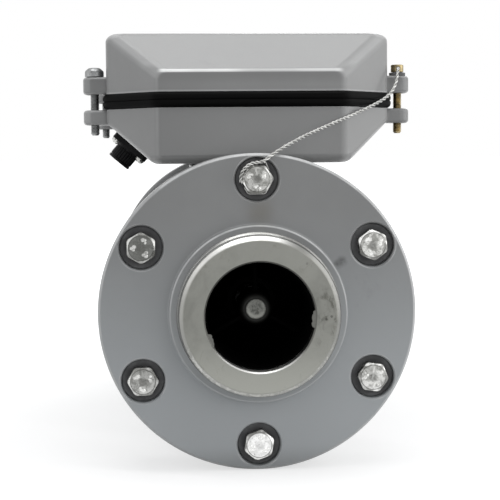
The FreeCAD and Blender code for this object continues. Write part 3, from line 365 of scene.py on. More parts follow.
def satin_paint(name, colour):
    """Satin paint on metal, with clouding and specks: its look, and what its finish takes."""
    look = Look(name, times(colour, 0.94), Specular_IOR_Level=0.4, Coat_Weight=0.3, Coat_Roughness=0.24)
    cloud = look.noise(14, 4, 0.6)
    look.paint(times(colour, 1.06), look.rise(cloud, 0.32, 0.70))
    look.paint(times(colour, 0.55), look.spread(look.noise(1500, 2, 0.5), 0.56, 0.72, 0, 0.10))
    rough = look.spread(cloud, 0.3, 0.7, 0.34, 0.46)
    return look, (rough, (look.noise(55, 3), 0.6, 0.08), (look.noise(1100, 2), 0.2, 0.10))


def wear_and_edge_highlight(look, colour, radius):
    """Pale along sharp edges, where the paint is rubbed thin and a highlight is painted, and dirty in patches.
    """
    rubbed_and_lit_edges = look.both(look.edge(radius), look.spread(look.noise(120, 3), 0.30, 0.62, 0.3, 1.4))
    # rubbed paint and painted highlight: sharp edges lightened
    look.paint(times(colour, 2.2), look.spread(rubbed_and_lit_edges, 0.015, 0.20, 0, 0.85))
    look.paint(times(colour, 0.45), look.spread(look.noise(34, 5, 0.7, distort=0.6), 0.62, 0.80, 0, 0.18))


# Dark marks on the inlet cover, as (place, radius)
STAINS = (((40.2, 6, 23.8), 3.4), ((42.4, 6, 25.4), 3.8))


def barrel_look(name, colour, floor_lit_tone):
    """The pressure body's paint: paler lower down as a painted floor reflection, painted shade at the very
    bottom, on the boss face and under the enclosure, painted light on the flange backs, rubbed and painted
    pale on its edges and rims, stained, and painted near-black inside the bore as shade.
    """
    look, surface = satin_paint(name, colour)
    x, y, z = look.axes()
    radius, inward = look.pipe_radius(), look.from_end()
    # painted reflection of the floor: paler towards the bottom
    look.paint(floor_lit_tone, look.spread(z, -50, 62, 0.95, 0))
    # painted shade: darker at the very bottom, next to the floor
    look.paint(times(colour, 0.80), look.spread(z, -COVER_RADIUS, -66, 0.55, 0))
    # painted light: the backs of the flanges paler, lifting the shade under the enclosure
    facing = look.rise(look.facing_pipe(), 0.85, 0.97)
    look.paint(times(colour, 1.7), look.band(inward, FLANGE_BACK, 0.2, 0.4), facing)
    wear_and_edge_highlight(look, colour, 1.0)
    # painted shade: the boss face darker at its top and bottom
    boss_face = look.both(look.band(radius, 41.9, 1.5, 0.3), look.fall(inward, 0.6, 1.2))
    look.shade(grey(0.80), boss_face, look.rise(look.apart(z), 15, 35))
    # painted shade on the saddle's top, under the enclosure
    shade_under_case = look.both(look.rise(z, 64, 70), look.rise(inward, 76, 80))
    look.shade(grey(0.35), shade_under_case)
    # painted highlights along the boss, pocket and cover rims
    uneven = look.spread(look.noise(70, 3), 0.32, 0.60, 0.45, 1.0)
    boss_rim_highlight = look.both(look.band(radius, BOSS_RADIUS - 0.4, 0.25, 0.35), look.fall(inward, 0.8, 1.4),
                         look.spread(z, -30, 30, 0.35, 0.9))
    pocket_rim_highlight = look.both(look.band(look.from_bolt(), 11.6, 0.2, 0.4), look.fall(inward, 6.0, 6.8),
                           look.spread(look.noise(45, 2), 0.45, 0.60, 0.05, 0.8))
    cover_rim_highlight = look.both(look.band(radius, COVER_RADIUS - 0.6, 0.3, 0.6), look.fall(inward, 7, 8), 0.8)
    for rim in (boss_rim_highlight, pocket_rim_highlight, cover_rim_highlight):
        look.paint(times(colour, 2.4), rim, uneven)
    over_boss = look.both(look.band(x, 1.5, 0.5, 10.0), look.rise(z, 41.5, 49.5), look.fall(z, 51.5, 60.5))
    look.shade((0.82, 0.79, 0.74), over_boss, look.fall(inward, 6.2, 6.6))
    for place, size in STAINS:
        spot = look.fall(look.vector("DISTANCE", look.place, place), 0, size)
        look.paint(times(colour, 0.25), spot, look.spread(look.noise(260, 3), 0.30, 0.60, 0.3, 0.8))
    # painted shade: the bore between the covers near-black
    between_covers = look.both(look.rise(y, 24.0, 24.2), look.fall(y, 247.8, 248.0))
    look.paint(grey(0.004), look.fall(radius, BARREL_BORE + 0.3, BARREL_BORE + 0.6), between_covers)
    return look.finish(*surface)


def case_look(name, colour):
    """The enclosure's paint, with painted light: shade on the ends' left, below the lid's crease and on the
    right side, light on the base's left side, highlights over its rounded edges, hips, the lid's crease and
    lower edge, and rubbed edges.
    """
    look, surface = satin_paint(name, colour)
    x, _, z = look.axes()
    ends = look.rise(look.facing_pipe(), 0.90, 0.98)
    # painted shade: the end faces darker towards the left, and just below the lid's crease
    look.paint(times(colour, 0.76), look.fall(x, -80, 5), ends)
    look.paint(times(colour, 0.68), look.spread(z, 115, 121, 0, 0.6), look.fall(z, 122.4, 123.2), ends)
    # painted shade on the right side, and painted light on the base's left side
    look.shade(grey(0.84), look.rise(x, 77.2, 79.0))
    look.shade(grey(1.22), look.fall(x, -79.0, -77.2), look.fall(z, 105, 110))
    depth = look.rounding()
    outside = look.fall(depth, 2.6, 3.2)
    # painted highlights over the rounded edges, and stronger ones on the hips
    soft_edge_highlight = look.both(look.rise(depth, 0.03, 0.45), outside, look.spread(z, 124.5, 130, 1, 0.2))
    look.paint(times(colour, 1.45), soft_edge_highlight, look.spread(look.noise(30, 3), 0.3, 0.7, 0.15, 0.5))
    look.shade(grey(1.36), look.rise(depth, 0.2, 1.0), outside, look.rise(z, 124, 128))
    # painted highlight: a near-white line along the lid's crease
    crease_highlight = look.both(look.band(z, LID_BAND - 0.05, 0.40, 0.85), look.fall(look.apart(x), 45.5, 50),
                       look.rise(depth, 0.02, 0.10), outside)
    look.paint(grey(0.95, 0.94), crease_highlight, look.spread(look.noise(14, 2), 0.36, 0.58, 0.45, 1.0))
    # painted highlight along the lid's lower edge
    look.paint(times(colour, 1.8), look.band(z, LID_LOW + 0.4, 0.25, 0.4), 0.5)
    wear_and_edge_highlight(look, colour, 0.7)
    return look.finish(*surface)


def turned_metal_look(name, colour, stain):
    """Machined metal round the pipe axis: fine rings, smears, pits where pipes were fitted, painted light that
    makes it paler at the top and towards the floor, and painted highlights and shade on the bevel, its root
    and the bore's lip.
    """
    look = Look(name, times(colour, 1.10), Metallic=1.0, Specular_IOR_Level=0.5)
    x, _, z = look.axes()
    radius = look.pipe_radius()
    cloud = look.noise(60, 5, 0.65, distort=0.5)
    look.paint(times(colour, 0.88), look.rise(cloud, 0.36, 0.72))
    # painted reflection of the floor on the lower part, and painted light on the top
    look.paint(times(colour, 1.62), look.fall(z, -40, -2))
    look.paint(times(colour, 1.25), look.spread(z, 12, 34, 0, 0.5))
    smear = look.noise(110, 4, 0.7, stretch=(0.7, 1, 0.7), distort=1.6)
    look.paint(stain, look.spread(smear, 0.58, 0.78, 0, 0.45))
    used = look.both(look.rise(x, 24, 34), look.fall(look.apart(z), 8, 22))
    scuffs = look.rise(look.noise(300, 5, 0.7, stretch=(1, 1, 0.6), distort=0.3), 0.50, 0.68)
    look.paint(times(stain, 0.4), used, scuffs, 0.6)
    pitted = look.math("MAXIMUM", look.rise(look.noise(75, 2), 0.60, 0.68), look.both(used, 0.6))
    hole = look.both(look.fall(look.cells(260), 0.10, 0.24), pitted)
    look.paint(times(colour, 0.15), hole, 0.85)
    # painted light on the bevel: bright at the top, paler below, shaded at the upper right, with pale specks
    # below
    bevel_tone = look.blend(look.rise(z, 5, 34), grey(0.30, 0.285), grey(0.72, 0.70))
    bevel_tone = look.blend(look.spread(z, -36, -10, 0.8, 0), bevel_tone, grey(0.46, 0.44))
    shaded = look.both(look.rise(x, 4, 22), look.rise(z, -12, 4))
    bevel_tone = look.blend(shaded, bevel_tone, grey(0.24, 0.23))
    specks = look.both(look.rise(look.noise(520, 3, 0.6), 0.46, 0.60), look.spread(z, -22, -10, 0.8, 0))
    bevel_tone = look.blend(specks, bevel_tone, grey(0.62, 0.59))
    outer = look.rise(radius, 37.4, 38.4)
    look.paint(bevel_tone, outer, look.spread(cloud, 0.3, 0.7, 1.0, 0.75))
    # painted highlight: the root ring paler towards the upper right
    up_right = look.math("ADD", look.math("MULTIPLY", x, 0.5), look.math("MULTIPLY", z, 0.866))
    root_tone = look.blend(look.rise(up_right, 8, 29), (0.20, 0.202, 0.20), grey(0.38, 0.365))
    look.paint(root_tone, look.rise(radius, PIPE_RADIUS + 0.1, PIPE_RADIUS + 0.3))
    # painted highlight: the bore's lip bright only at the bottom
    lip_tone = look.blend(look.rise(z, -27.5, -14), grey(0.78, 0.76), grey(0.13, 0.12))
    look.paint(lip_tone, look.fall(radius, 27.6, 27.9))
    rings = look.math("SINE", look.math("MULTIPLY", radius, 15.0))
    height = look.math("ADD", look.math("MULTIPLY", rings, 0.5), look.noise(900, 2, 0.5))
    return look.finish(look.spread(outer, 0, 1, 0.40, 0.33), (height, 0.04, 0.35),
                       (look.math("SUBTRACT", 1.0, hole), 0.3, 0.5))


def bolt_look(name):
    """Zinc-plated hex heads: painted glints on the chamfers, a dull dimple, painted highlights on the raised
    marks, painted shade on the left and round the crown and corners, and paler lower down as a painted floor
    reflection.
    """
    look = Look(name, None, Metallic=1.0)
    x, _, z = look.axes()
    away, inward = look.from_bolt(), look.from_end()
    patch = look.noise(300, 4, 0.7, distort=0.6)
    # painted reflection of the floor: paler lower down
    out_of_floor_reflection = look.rise(z, -72, -24)
    look.base = look.blend(out_of_floor_reflection, grey(0.96, 0.95), grey(0.58, 0.56))
    dark = look.blend(out_of_floor_reflection, grey(0.74, 0.73), grey(0.27, 0.255))
    look.paint(dark, look.rise(patch, 0.40, 0.60))
    # painted shade: the heads darker on the left, except low down
    look.paint((0.092, 0.094, 0.088), look.spread(x, -62, 40, 0.88, 0), look.rise(z, -60, -7))
    dimple = look.both(look.spread(away, 1.4, 2.9, 0.58, 0), look.spread(z, -70, -18, 0.4, 1.0))
    look.paint(grey(0.10, 0.094), dimple)
    # painted glint on the chamfers, dimmer on the left
    glint = look.blend(look.rise(look.noise(130, 2), 0.38, 0.56), grey(0.88, 0.86), grey(0.24, 0.23))
    look.paint(glint, look.rise(away, 6.2, 6.5), look.spread(x, -60, 0, 0.55, 1.0))
    # painted shade: a dark line round the crown, and dark corners
    look.paint(grey(0.07, 0.066), look.band(away, 6.25, 0.08, 0.25), 0.7)
    look.paint(grey(0.06, 0.058), look.spread(away, 7.3, 7.8, 0, 0.7))
    look.paint(grey(0.03, 0.028), look.spread(look.noise(1000, 3, 0.6), 0.58, 0.72, 0, 0.6))
    # painted highlight on the raised marks
    marks = look.fall(inward, 3.92, 4.06)
    look.paint(grey(0.82, 0.80), marks, look.spread(patch, 0.40, 0.65, 0.70, 0.25))
    return look.finish(look.spread(patch, 0.3, 0.75, 0.22, 0.40), (patch, 0.5, 0.5))


def sensor_look(name, colour):
    """A turned nose: a painted highlight ring, brightest below and to the left, round a darker face."""
    look = Look(name, times(colour, 0.72), Metallic=1.0)
    x, _, z = look.axes()
    radius = look.pipe_radius()
    spots = look.noise(700, 3, 0.6)
    look.paint(times(colour, 0.36), look.rise(spots, 0.40, 0.62))
    # painted highlight on the ring, by height and side
    lit = look.math("ADD", look.spread(z, -4.5, 1.0, 1, 0.35), look.spread(x, -4, 2, 0.25, 0))
    look.paint(times(colour, 1.15), look.rise(radius, 2.2, 3.8), look.spread(radius, 4.0, 5.6, 1, 0.1), lit)
    return look.finish(0.5, (spots, 0.2, 0.3))


def bare_metal_look(name, colour, dull, rough=(0.22, 0.42), edge=0.4):
    """Plated or bare metal with handling marks, dulled patches and painted highlights along its edges."""
    look = Look(name, colour, Metallic=1.0)
    patch = look.noise(210, 4, 0.65, distort=0.4)
    look.paint(dull, look.rise(patch, 0.38, 0.66))
    look.paint(times(dull, 0.4), look.spread(look.noise(700, 3, 0.6), 0.55, 0.74, 0, 0.6))
    # painted highlight along edges
    look.paint(times(colour, 1.7), look.spread(look.edge(edge), 0.02, 0.25, 0, 0.85))
    scratch = look.noise(900, 2, 0.6, stretch=(1, 1, 6))
    return look.finish(look.spread(patch, 0.3, 0.75, *rough), (scratch, 0.06, 0.35), (patch, 0.3, 0.35))


def rubber_look(name, colour, rough=0.6, shine=0.12):
    look = Look(name, colour, Specular_IOR_Level=shine)
    bloom = look.noise(45, 4, 0.6)
    look.paint(times(colour, 1.6), look.rise(bloom, 0.45, 0.8))
    return look.finish(look.spread(bloom, 0.3, 0.7, rough - 0.08, rough + 0.12),
                       (look.noise(2600, 2), 0.1, 0.25), (bloom, 0.6, 0.12))


def washer_look(name, colour):
    """A dull washer, with painted shade round the head that it carries."""
    look = Look(name, times(colour, 0.8), Specular_IOR_Level=0.3)
    bloom = look.noise(150, 4, 0.6)
    look.paint(times(colour, 1.3), look.rise(bloom, 0.35, 0.7))
    # painted shade round the head
    look.paint(times(colour, 0.35), look.spread(look.from_bolt(), 7.5, 10.2, 0.75, 0))
    return look.finish(0.6, (bloom, 0.4, 0.3))


def moulded_look(name, colour, rough=0.5, shine=0.3, nose_halo=False):
    """Moulded plastic, rubbed and painted pale as a highlight along its edges, or only with a painted pale
    halo round the transducer's nose.
    """
    look = Look(name, colour, Specular_IOR_Level=shine)
    cloud = look.noise(70, 3)
    look.paint(times(colour, 1.25), look.rise(cloud, 0.4, 0.7))
    if nose_halo:
        # painted light: a pale halo on the carrier round the transducer's nose
        look.paint(grey(0.105, 0.098), look.fall(look.pipe_radius(), 4.8, 8.4))
    else:
        # rubbed paint and painted highlight along edges
        look.paint(times(colour, 2.4), look.spread(look.edge(0.5), 0.03, 0.35, 0, 0.5))
    return look.finish(look.spread(cloud, 0.3, 0.7, rough - 0.06, rough + 0.08),
                       (look.noise(2200, 2), 0.12, 0.3))


def board_look(name, colour):
    """A circuit board: solder mask over a net of tracks, with small pads."""
    look = Look(name, colour, Specular_IOR_Level=0.5)
    track = look.fall(look.cells(190, "DISTANCE_TO_EDGE"), 0.03, 0.05)
    look.paint(times(colour, 1.8), track, 0.7)
    look.paint((0.62, 0.60, 0.52), look.fall(look.cells(260), 0.10, 0.14))
    return look.finish(0.32, (track, 0.1, 0.3))


def glass_look(name, colour):
    look = Look(name, colour, Transmission_Weight=1.0, IOR=1.2)
    return look.finish(look.spread(look.noise(60, 4, 0.6, distort=0.8), 0.45, 0.8, 0, 0.06))


def panel_look(name, colour):
    """A grey-green display panel, with the faint grid of its unlit cells."""
    look = Look(name, colour, Specular_IOR_Level=0.4)
    x, y, _ = look.axes()
    across, along = (look.math("SINE", look.math("MULTIPLY", axis, 4.2)) for axis in (x, y))
    look.paint(times(colour, 0.86), look.rise(look.noise(30, 2), 0.3, 0.7))
    look.paint(times(colour, 0.5), look.spread(look.math("MAXIMUM", across, along), 0.86, 0.98, 0, 0.14))
    return look.finish(0.25)


# Each slot's look and what it is made with
SLOT_LOOKS = (
    # barrel_paint: its colour, and the paler tone of its painted floor reflection
    ("barrel_paint", barrel_look, (0.253, 0.255, 0.254), (0.436, 0.456, 0.468)),
    ("case_paint", case_look, grey(0.292, 0.290)),
    ("nozzle_steel", turned_metal_look, (0.203, 0.205, 0.188), (0.11, 0.105, 0.085)),
    ("bolt_zinc", bolt_look),
    ("washer_dark", washer_look, grey(0.138, 0.140)),
    ("gasket_rubber", rubber_look, grey(0.0012), 0.45, 0.05),
    ("seal_rubber", rubber_look, grey(0.006)),
    ("carrier_black", moulded_look, grey(0.0008), 0.70, 0.02, True),
    ("transducer_metal", sensor_look, (0.26, 0.265, 0.245)),
    ("tube_metal", moulded_look, grey(0.0015, 0.0016), 0.6, 0.03),
    ("screw_black", moulded_look, grey(0.0010), 0.6, 0.03),
    ("screw_steel", bare_metal_look, grey(0.56, 0.54), grey(0.25, 0.24)),
    ("lid_screw_steel", bare_metal_look, (0.30, 0.305, 0.305), (0.20, 0.204, 0.206), (0.36, 0.5)),
    ("seal_brass", bare_metal_look, (0.36, 0.29, 0.16), (0.13, 0.11, 0.07), (0.25, 0.45)),
    ("feed_resin", moulded_look, grey(0.004, 0.0045), 0.45, 0.1),
    ("window_clear", glass_look, (0.95, 0.97, 0.97)),
    ("display_panel", panel_look, (0.235, 0.275, 0.215)),
    ("board_green", board_look, (0.012, 0.075, 0.028)),
    ("button_plastic", moulded_look, grey(0.02, 0.022), 0.48),
    ("spring_steel", bare_metal_look, grey(0.55), grey(0.30)),
    ("holder_black", moulded_look, grey(0.012), 0.5),
    ("cell_sleeve", moulded_look, (0.03, 0.10, 0.05), 0.3),
    ("connector_black", moulded_look, grey(0.0035, 0.0038), 0.45, 0.16),
    ("pin_gold", bare_metal_look, (0.70, 0.50, 0.18), (0.45, 0.31, 0.11)),
    ("wire_steel", bare_metal_look, grey(0.52, 0.505), grey(0.33, 0.32), (0.30, 0.45), 0.1),
)
LOOKS = {name: make(name, *details) for name, make, *details in SLOT_LOOKS}
SLOT_OF = {row["node"]: row["material_slot"] for row in frame["record"]["subparts"]}
for node_name, node_object in frame["nodes"].items():
    for held in node_object.material_slots:
        held.material = LOOKS[SLOT_OF[node_name]]


# Shapes: a shape is a list of points in millimetres and a list of faces


def soften(points, steps=4):
    """Round the corners of a closed outline; a point is (u, v), or (u, v, radius) to be rounded."""
    out = []
    count = len(points)
    for index, point in enumerate(points):
        corner = Vector(point[:2])
        radius = point[2] if len(point) > 2 else 0
        if not radius:
            out.append(tuple(corner))
            continue
        before = Vector(points[index - 1][:2]) - corner
        after = Vector(points[(index + 1) % count][:2]) - corner
        half = before.angle(after) / 2
        reach = min(radius / math.tan(half), before.length * 0.48, after.length * 0.48)
        start, end = corner + before.normalized() * reach, corner + after.normalized() * reach
        for step in range(steps + 1):
            t = step / steps
            out.append(tuple(start * (1 - t) ** 2 + corner * 2 * t * (1 - t) + end * t * t))
    return out


def skin(rings, closed=True):
    """A surface through rings of points, which closes on its first ring or has a flat face at each end."""
    count = len(rings[0])
    points = [tuple(point) for ring in rings for point in ring]
    faces = [] if closed else [tuple(range(count)), tuple(range(len(points) - count, len(points)))]
    edges = [(i, (i + 1) % count) for i in range(count)]
    for k in range(len(rings) if closed else len(rings) - 1):
        here, there = k * count, (k + 1) % len(rings) * count
        faces += [(here + i, here + j, there + j, there + i) for i, j in edges]
    return points, faces


def full_turn(count):
    return [2 * math.pi * k / count for k in range(count)]


def lathe(profile, segments=160):
    """A closed outline of (radius, station), turned round the Y axis."""
    return skin([[(r * math.cos(a), y, r * math.sin(a)) for r, y in profile] for a in full_turn(segments)])


def prism(outline, low, high):
    """An outline of (x, y) drawn up from one height to another."""
    return skin([[(x, y, z) for x, y in outline] for z in (low, high)], closed=False)


def box(low, high):
    (a, b, c), (d, e, f) = low, high
    return prism([(a, b), (d, b), (d, e), (a, e)], c, f)


def plate(x, y, size, low, high):
    """A level plate about a middle; its size is (width, depth, corner radius)."""
    width, depth, radius = size
    sides = ((-1, -1), (1, -1), (1, 1), (-1, 1))
    return prism(soften([(x + a * width / 2, y + b * depth / 2, radius) for a, b in sides], 5), low, high)


def rod(radius, low, high, segments=48):
    """A round bar along the Y axis."""
    return lathe([(0, low), (radius, low), (radius, high), (0, high)], segments)


def hull(points):
    """The convex solid round some points, with whole flat faces."""
    mesh = bmesh.new()
    for point in points:
        mesh.verts.new(point)
    made = bmesh.ops.convex_hull(mesh, input=mesh.verts)
    inside = [item for item in made["geom_interior"] if isinstance(item, bmesh.types.BMVert)]
    bmesh.ops.delete(mesh, geom=inside, context="VERTS")
    bmesh.ops.dissolve_limit(mesh, angle_limit=0.002, verts=mesh.verts, edges=mesh.edges)
    mesh.verts.index_update()
    shape = [tuple(v.co) for v in mesh.verts], [tuple(v.index for v in f.verts) for f in mesh.faces]
    mesh.free()
    return shape


UPRIGHT = Matrix.Rotation(math.radians(90), 4, "X")      # turns +Y into +Z
ROUND = Matrix.Translation((0, OVERALL, 0)) @ Matrix.Rotation(math.pi, 4, "Z")


def moved(shape, matrix):
    return [tuple(matrix @ Vector(point)) for point in shape[0]], shape[1]


def shifted(shape, x=0, y=0, z=0):
    return moved(shape, Matrix.Translation((x, y, z)))


def upright(shape, x=0, y=0, z=0):
    """A shape along the Y axis, stood up along Z at a place."""
    return moved(shape, Matrix.Translation((x, y, z)) @ UPRIGHT)


def turned(shape, degrees):
    """A shape turned about the pipe axis, from +X towards +Z."""
    return moved(shape, Matrix.Rotation(math.radians(-degrees), 4, "Y"))


def joined(shapes):
    points, faces = [], []
    for some_points, some_faces in shapes:
        base = len(points)
        points += some_points
        faces += [tuple(i + base for i in face) for face in some_faces]
    return points, faces


def new_mesh(name, shape, smooth=SMOOTH):
    mesh = bmesh.new()
    verts = [mesh.verts.new(Vector(point) * MM) for point in shape[0]]
    for face in shape[1]:
        corners = list(dict.fromkeys(verts[i] for i in face))
        if len(corners) > 2:
            mesh.faces.new(corners)
    bmesh.ops.remove_doubles(mesh, verts=mesh.verts, dist=1e-7)
    bmesh.ops.recalc_face_normals(mesh, faces=mesh.faces)
    data = bpy.data.meshes.new(name)
    mesh.to_mesh(data)
    mesh.free()
    data.polygons.foreach_set("use_smooth", [True] * len(data.polygons))
    data.set_sharp_from_angle(angle=math.radians(smooth))
    return data


def new_piece(name, shape, slot, nodes=(), body="meter", smooth=SMOOTH):
    """A piece of the object that rides on a body and stands for some CAD nodes."""
    piece = put(name, new_mesh(name, shape, smooth))
    piece.data.materials.append(LOOKS[slot])
    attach(piece, body)
    if nodes:
        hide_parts(*nodes)
    return piece


def apply_modifiers(piece):
    bpy.context.view_layer.update()
    seen = piece.evaluated_get(bpy.context.evaluated_depsgraph_get())
    data = bpy.data.meshes.new_from_object(seen)
    piece.modifiers.clear()
    piece.data = data


def carve(piece, shape, operation="DIFFERENCE"):
    """Cut a shape out of a piece, or add it."""
    tool = put("tool", new_mesh("tool", shape))
    cut = piece.modifiers.new("cut", "BOOLEAN")
    cut.operation = operation
    cut.solver = "EXACT"
    cut.object = tool
    apply_modifiers(piece)
    bpy.data.objects.remove(tool)


def settle(piece, smooth=SMOOTH):
    """Keep flat faces flat in the shading, and only curved ones smooth."""
    piece.data.set_sharp_from_angle(angle=math.radians(smooth))
    made = piece.modifiers.new("flat_faces", "WEIGHTED_NORMAL")
    made.keep_sharp = True


def bevel(piece, width, segments=2):
    made = piece.modifiers.new("bevel", "BEVEL")
    made.width = width * MM
    made.segments = segments
    made.limit_method = "ANGLE"
    made.angle_limit = math.radians(38)
    apply_modifiers(piece)
    settle(piece, 40)


def at_ends(build):
    """Build a piece for the inlet, and turn it round for the outlet."""
    build("inlet", lambda shape: shape)
    build("outlet", lambda shape: moved(shape, ROUND))


# Seal wire: two strands twisted together, and their loop round the top bolt's head

WIRE_ROUTE = (
    (83.6, 76.1, 126.0),
    (83.3, 71.4, 126.0),
    (82.1, 67.9, 123.3),
    (80.9, 65.6, 117.4),
    (77.4, 62.6, 111.4),
    (70.2, 57.0, 106.6),
    (55.7, 45.2, 100.4),
    (39.9, 33.0, 94.2),
    (24.5, 19.0, 88.0),
    (14.5, 9.6, 83.0),
    (8.0, 4.9, 79.4),
    (3.2, 4.4, 75.7),
)
KNOT, CLOSE = 66, 188    # degrees round the head: the knot, and where the loop turns close to the head


def spline_points(route):
    """Points along the smooth curve that a route controls."""
    curve = bpy.data.curves.new("route", "CURVE")
    curve.dimensions = "3D"
    curve.resolution_u = 24
    spline = curve.splines.new("NURBS")
    spline.points.add(len(route) - 1)
    for point, place in zip(spline.points, route):
        point.co = (*(c * MM for c in place), 1)
    spline.order_u = 3
    spline.use_endpoint_u = True
    holder = put("route", curve)
    bpy.context.view_layer.update()
    mesh = bpy.data.meshes.new_from_object(holder.evaluated_get(bpy.context.evaluated_depsgraph_get()))
    points = [v.co / MM for v in mesh.vertices]
    bpy.data.objects.remove(holder)
    return points


def evenly(points, step):
    """Points the same distance apart along a line."""
    out, left = [points[0]], step
    for a, b in zip(points, points[1:]):
        run = (b - a).length
        done = 0.0
        while run - done >= left:
            done += left
            out.append(a.lerp(b, done / run))
            left = step
        left -= run - done
    out.append(points[-1])
    return out


def frames_along(points):
    """A pair of side directions at each point that turn as little as they can."""
    side = (points[1] - points[0]).orthogonal().normalized()
    out = []
    for index in range(len(points)):
        ahead = (points[min(index + 1, len(points) - 1)] - points[max(index - 1, 0)]).normalized()
        side = (side - ahead * side.dot(ahead)).normalized()
        out.append((side, ahead.cross(side)))
    return out


def beside(point, sides, radius, turn):
    """A point at a radius from another, at an angle between two side directions."""
    return point + (sides[0] * math.cos(turn) + sides[1] * math.sin(turn)) * radius


def tube(points, radius):
    """A round wire along some points, with closed ends."""
    turns = full_turn(8)
    rings = [[beside(point, sides, radius, turn) for turn in turns]
             for point, sides in zip(points, frames_along(points))]
    return skin(rings, closed=False)


def twisted(points, offset, pitch, start):
    """The line of one strand that winds round a path."""
    out, gone = [], 0.0
    for index, (point, sides) in enumerate(zip(points, frames_along(points))):
        if index:
            gone += (point - points[index - 1]).length
        out.append(beside(point, sides, offset, start + 2 * math.pi * gone / pitch))
    return out


def strand_pair(line, radius, offset, pitch):
    return [tube(twisted(line, offset, pitch, start), radius) for start in (0.0, math.pi)]


def head_radius(turn):
    """How far the side of a hex head with rounded corners lies from its axis, at an angle from a corner."""
    return min(HEAD_CORNER, HEAD_FLATS / 2 / math.cos(turn % (math.pi / 3) - math.pi / 6))


def loop_point(degrees):
    """A point of the loop round the top bolt's head: over its crown from the knot, then deep and close."""
    turn = math.radians(degrees)
    below = min(1.0, max(0.0, min((degrees - CLOSE) / 25, (KNOT + 360 - degrees) / 40)))
    knot = math.exp(-((degrees % 360 - KNOT) / 12) ** 2)
    radius = (8.2 + 1.2 * knot) * (1 - below) + (head_radius(turn) + 0.40) * below
    depth = 4.2 * (1 - below) + 8.6 * below
    return Vector((radius * math.cos(turn), depth, BOLT_ROW + radius * math.sin(turn)))


def make_wire():
    line = evenly(spline_points(WIRE_ROUTE), 0.4)
    strands = joined(strand_pair(line, radius=0.48, offset=0.49, pitch=6.0))
    wire = new_piece("seal_wire_strands", strands, "wire_steel", ["seal_wire"], smooth=60)
    over = [loop_point(degrees) for degrees in range(KNOT, CLOSE + 4)]
    under = [loop_point(degrees) for degrees in range(CLOSE, KNOT + 361)]
    shapes = strand_pair(over, radius=0.46, offset=0.46, pitch=4.6) + [tube(under, radius=0.36)]
    loop = new_piece("seal_wire_loop_strands", joined(shapes), "wire_steel", ["seal_wire_loop"], smooth=60)


make_wire()


# Pressure body; an outline that is turned round the pipe axis is a row of (radius, station, rounding)

AGAINST_BARREL = BARREL_RADIUS + GAP


def weld_bead(radius, station, leg):
    """A rippled ring of weld in the corner between the barrel and the back of a flange."""
    ripples, arc = 75, [math.radians(18 * step) for step in range(1, 5)]
    rings = []
    for angle in full_turn(480):
        size = leg + 0.45 * abs(math.sin(angle * ripples)) - 0.3
        bulge = [(size * math.cos(t) * 0.86, size * math.sin(t) * 0.86) for t in arc]
        section = [(0.0, 0.0), (size, 0.0), *bulge, (0.0, size)]
        rings.append([((radius + u) * math.cos(angle), station + v, (radius + u) * math.sin(angle))
                      for u, v in section])
    return skin(rings)


def make_barrel():
    far_end = OVERALL - COVER_BACK
    wall = soften([(BARREL_RADIUS, COVER_BACK, 0.3), (BARREL_RADIUS, far_end, 0.3), (BARREL_BORE, far_end),
                   (BARREL_BORE, COVER_BACK)])
    body = new_piece("barrel", lathe(wall, 192), "barrel_paint", ["body_barrel"])
    duct = upright(rod(8, 40, 80), 0, 106)
    carve(body, duct)
    settle(body)
    ring = soften([(AGAINST_BARREL, COVER_BACK), (COVER_RADIUS, COVER_BACK, 0.3),
                   (COVER_RADIUS, FLANGE_BACK, 1.5), (AGAINST_BARREL, FLANGE_BACK)])
    shapes = joined([lathe(ring, 256), weld_bead(AGAINST_BARREL, FLANGE_BACK, leg=5)])

    def build(end, turn):
        settle(new_piece(f"{end}_body_flange", turn(shapes), "barrel_paint", [f"{end}_flange"]), 50)
    at_ends(build)
    block = plate(0, MIDDLE, (62, 104, 8), 30, 73.1)
    saddle = new_piece("enclosure_saddle", block, "barrel_paint", ["barrel_pedestal"])
    carve(saddle, rod(AGAINST_BARREL, 20, 252, 192))
    carve(saddle, duct)
    bevel(saddle, 0.8)


def make_covers():
    bore, spigot, foot = PIPE_RADIUS + GAP, BARREL_BORE - GAP, PIPE_FOOT + GAP
    outline = soften([(bore, 0, 0.3), (BOSS_RADIUS, 0, 0.9), (BOSS_RADIUS, BOSS_RISE, 1.2),
                      (78.7, BOSS_RISE, 0.5), (COVER_RADIUS, 7.3, 0.5), (COVER_RADIUS, COVER_BACK, 0.3),
                      (spigot, COVER_BACK), (spigot, 28), (foot, 28), (foot, 20), (bore, 20)])
    pocket = soften([(0, -2), (11.8, -2), (11.8, 5.9), (11, 6.7, 0.3), (11, 11), (4.5, 11), (4.5, 34),
                     (0, 34)])
    pockets = joined([shifted(lathe(pocket, 64), x, 0, z) for x, z in BOLT_PLACES])

    def build(end, turn):
        cover = new_piece(f"{end}_end_cover", turn(lathe(outline, 256)), "barrel_paint", [f"{end}_cover"])
        carve(cover, turn(pockets))
        settle(cover, 40)
    at_ends(build)


# Inner edge of a staked tab, as (radius, distance round the bore): ragged where the punch went in
RIGHT_STAKE = ((27.7, -4.4), (26.4, -4.3), (25.5, -3.6), (25.1, -2.2), (25.6, -1.2), (25.2, 0.4),
               (25.3, 1.9), (25.8, 2.6), (25.7, 3.6), (26.5, 4.3), (27.7, 4.4))
LEFT_STAKE = ((27.7, -3.7), (26.3, -3.6), (25.4, -3.0), (25.2, -2.1), (25.6, -1.3), (25.4, -0.3),
              (25.8, 0.8), (26.0, 2.0), (26.6, 3.1), (27.7, 3.7))


def stake(edge, angle):
    """A lip of metal pushed in over the liner's end."""
    return turned(upright(prism(edge, 9.9, 11.3)), angle)


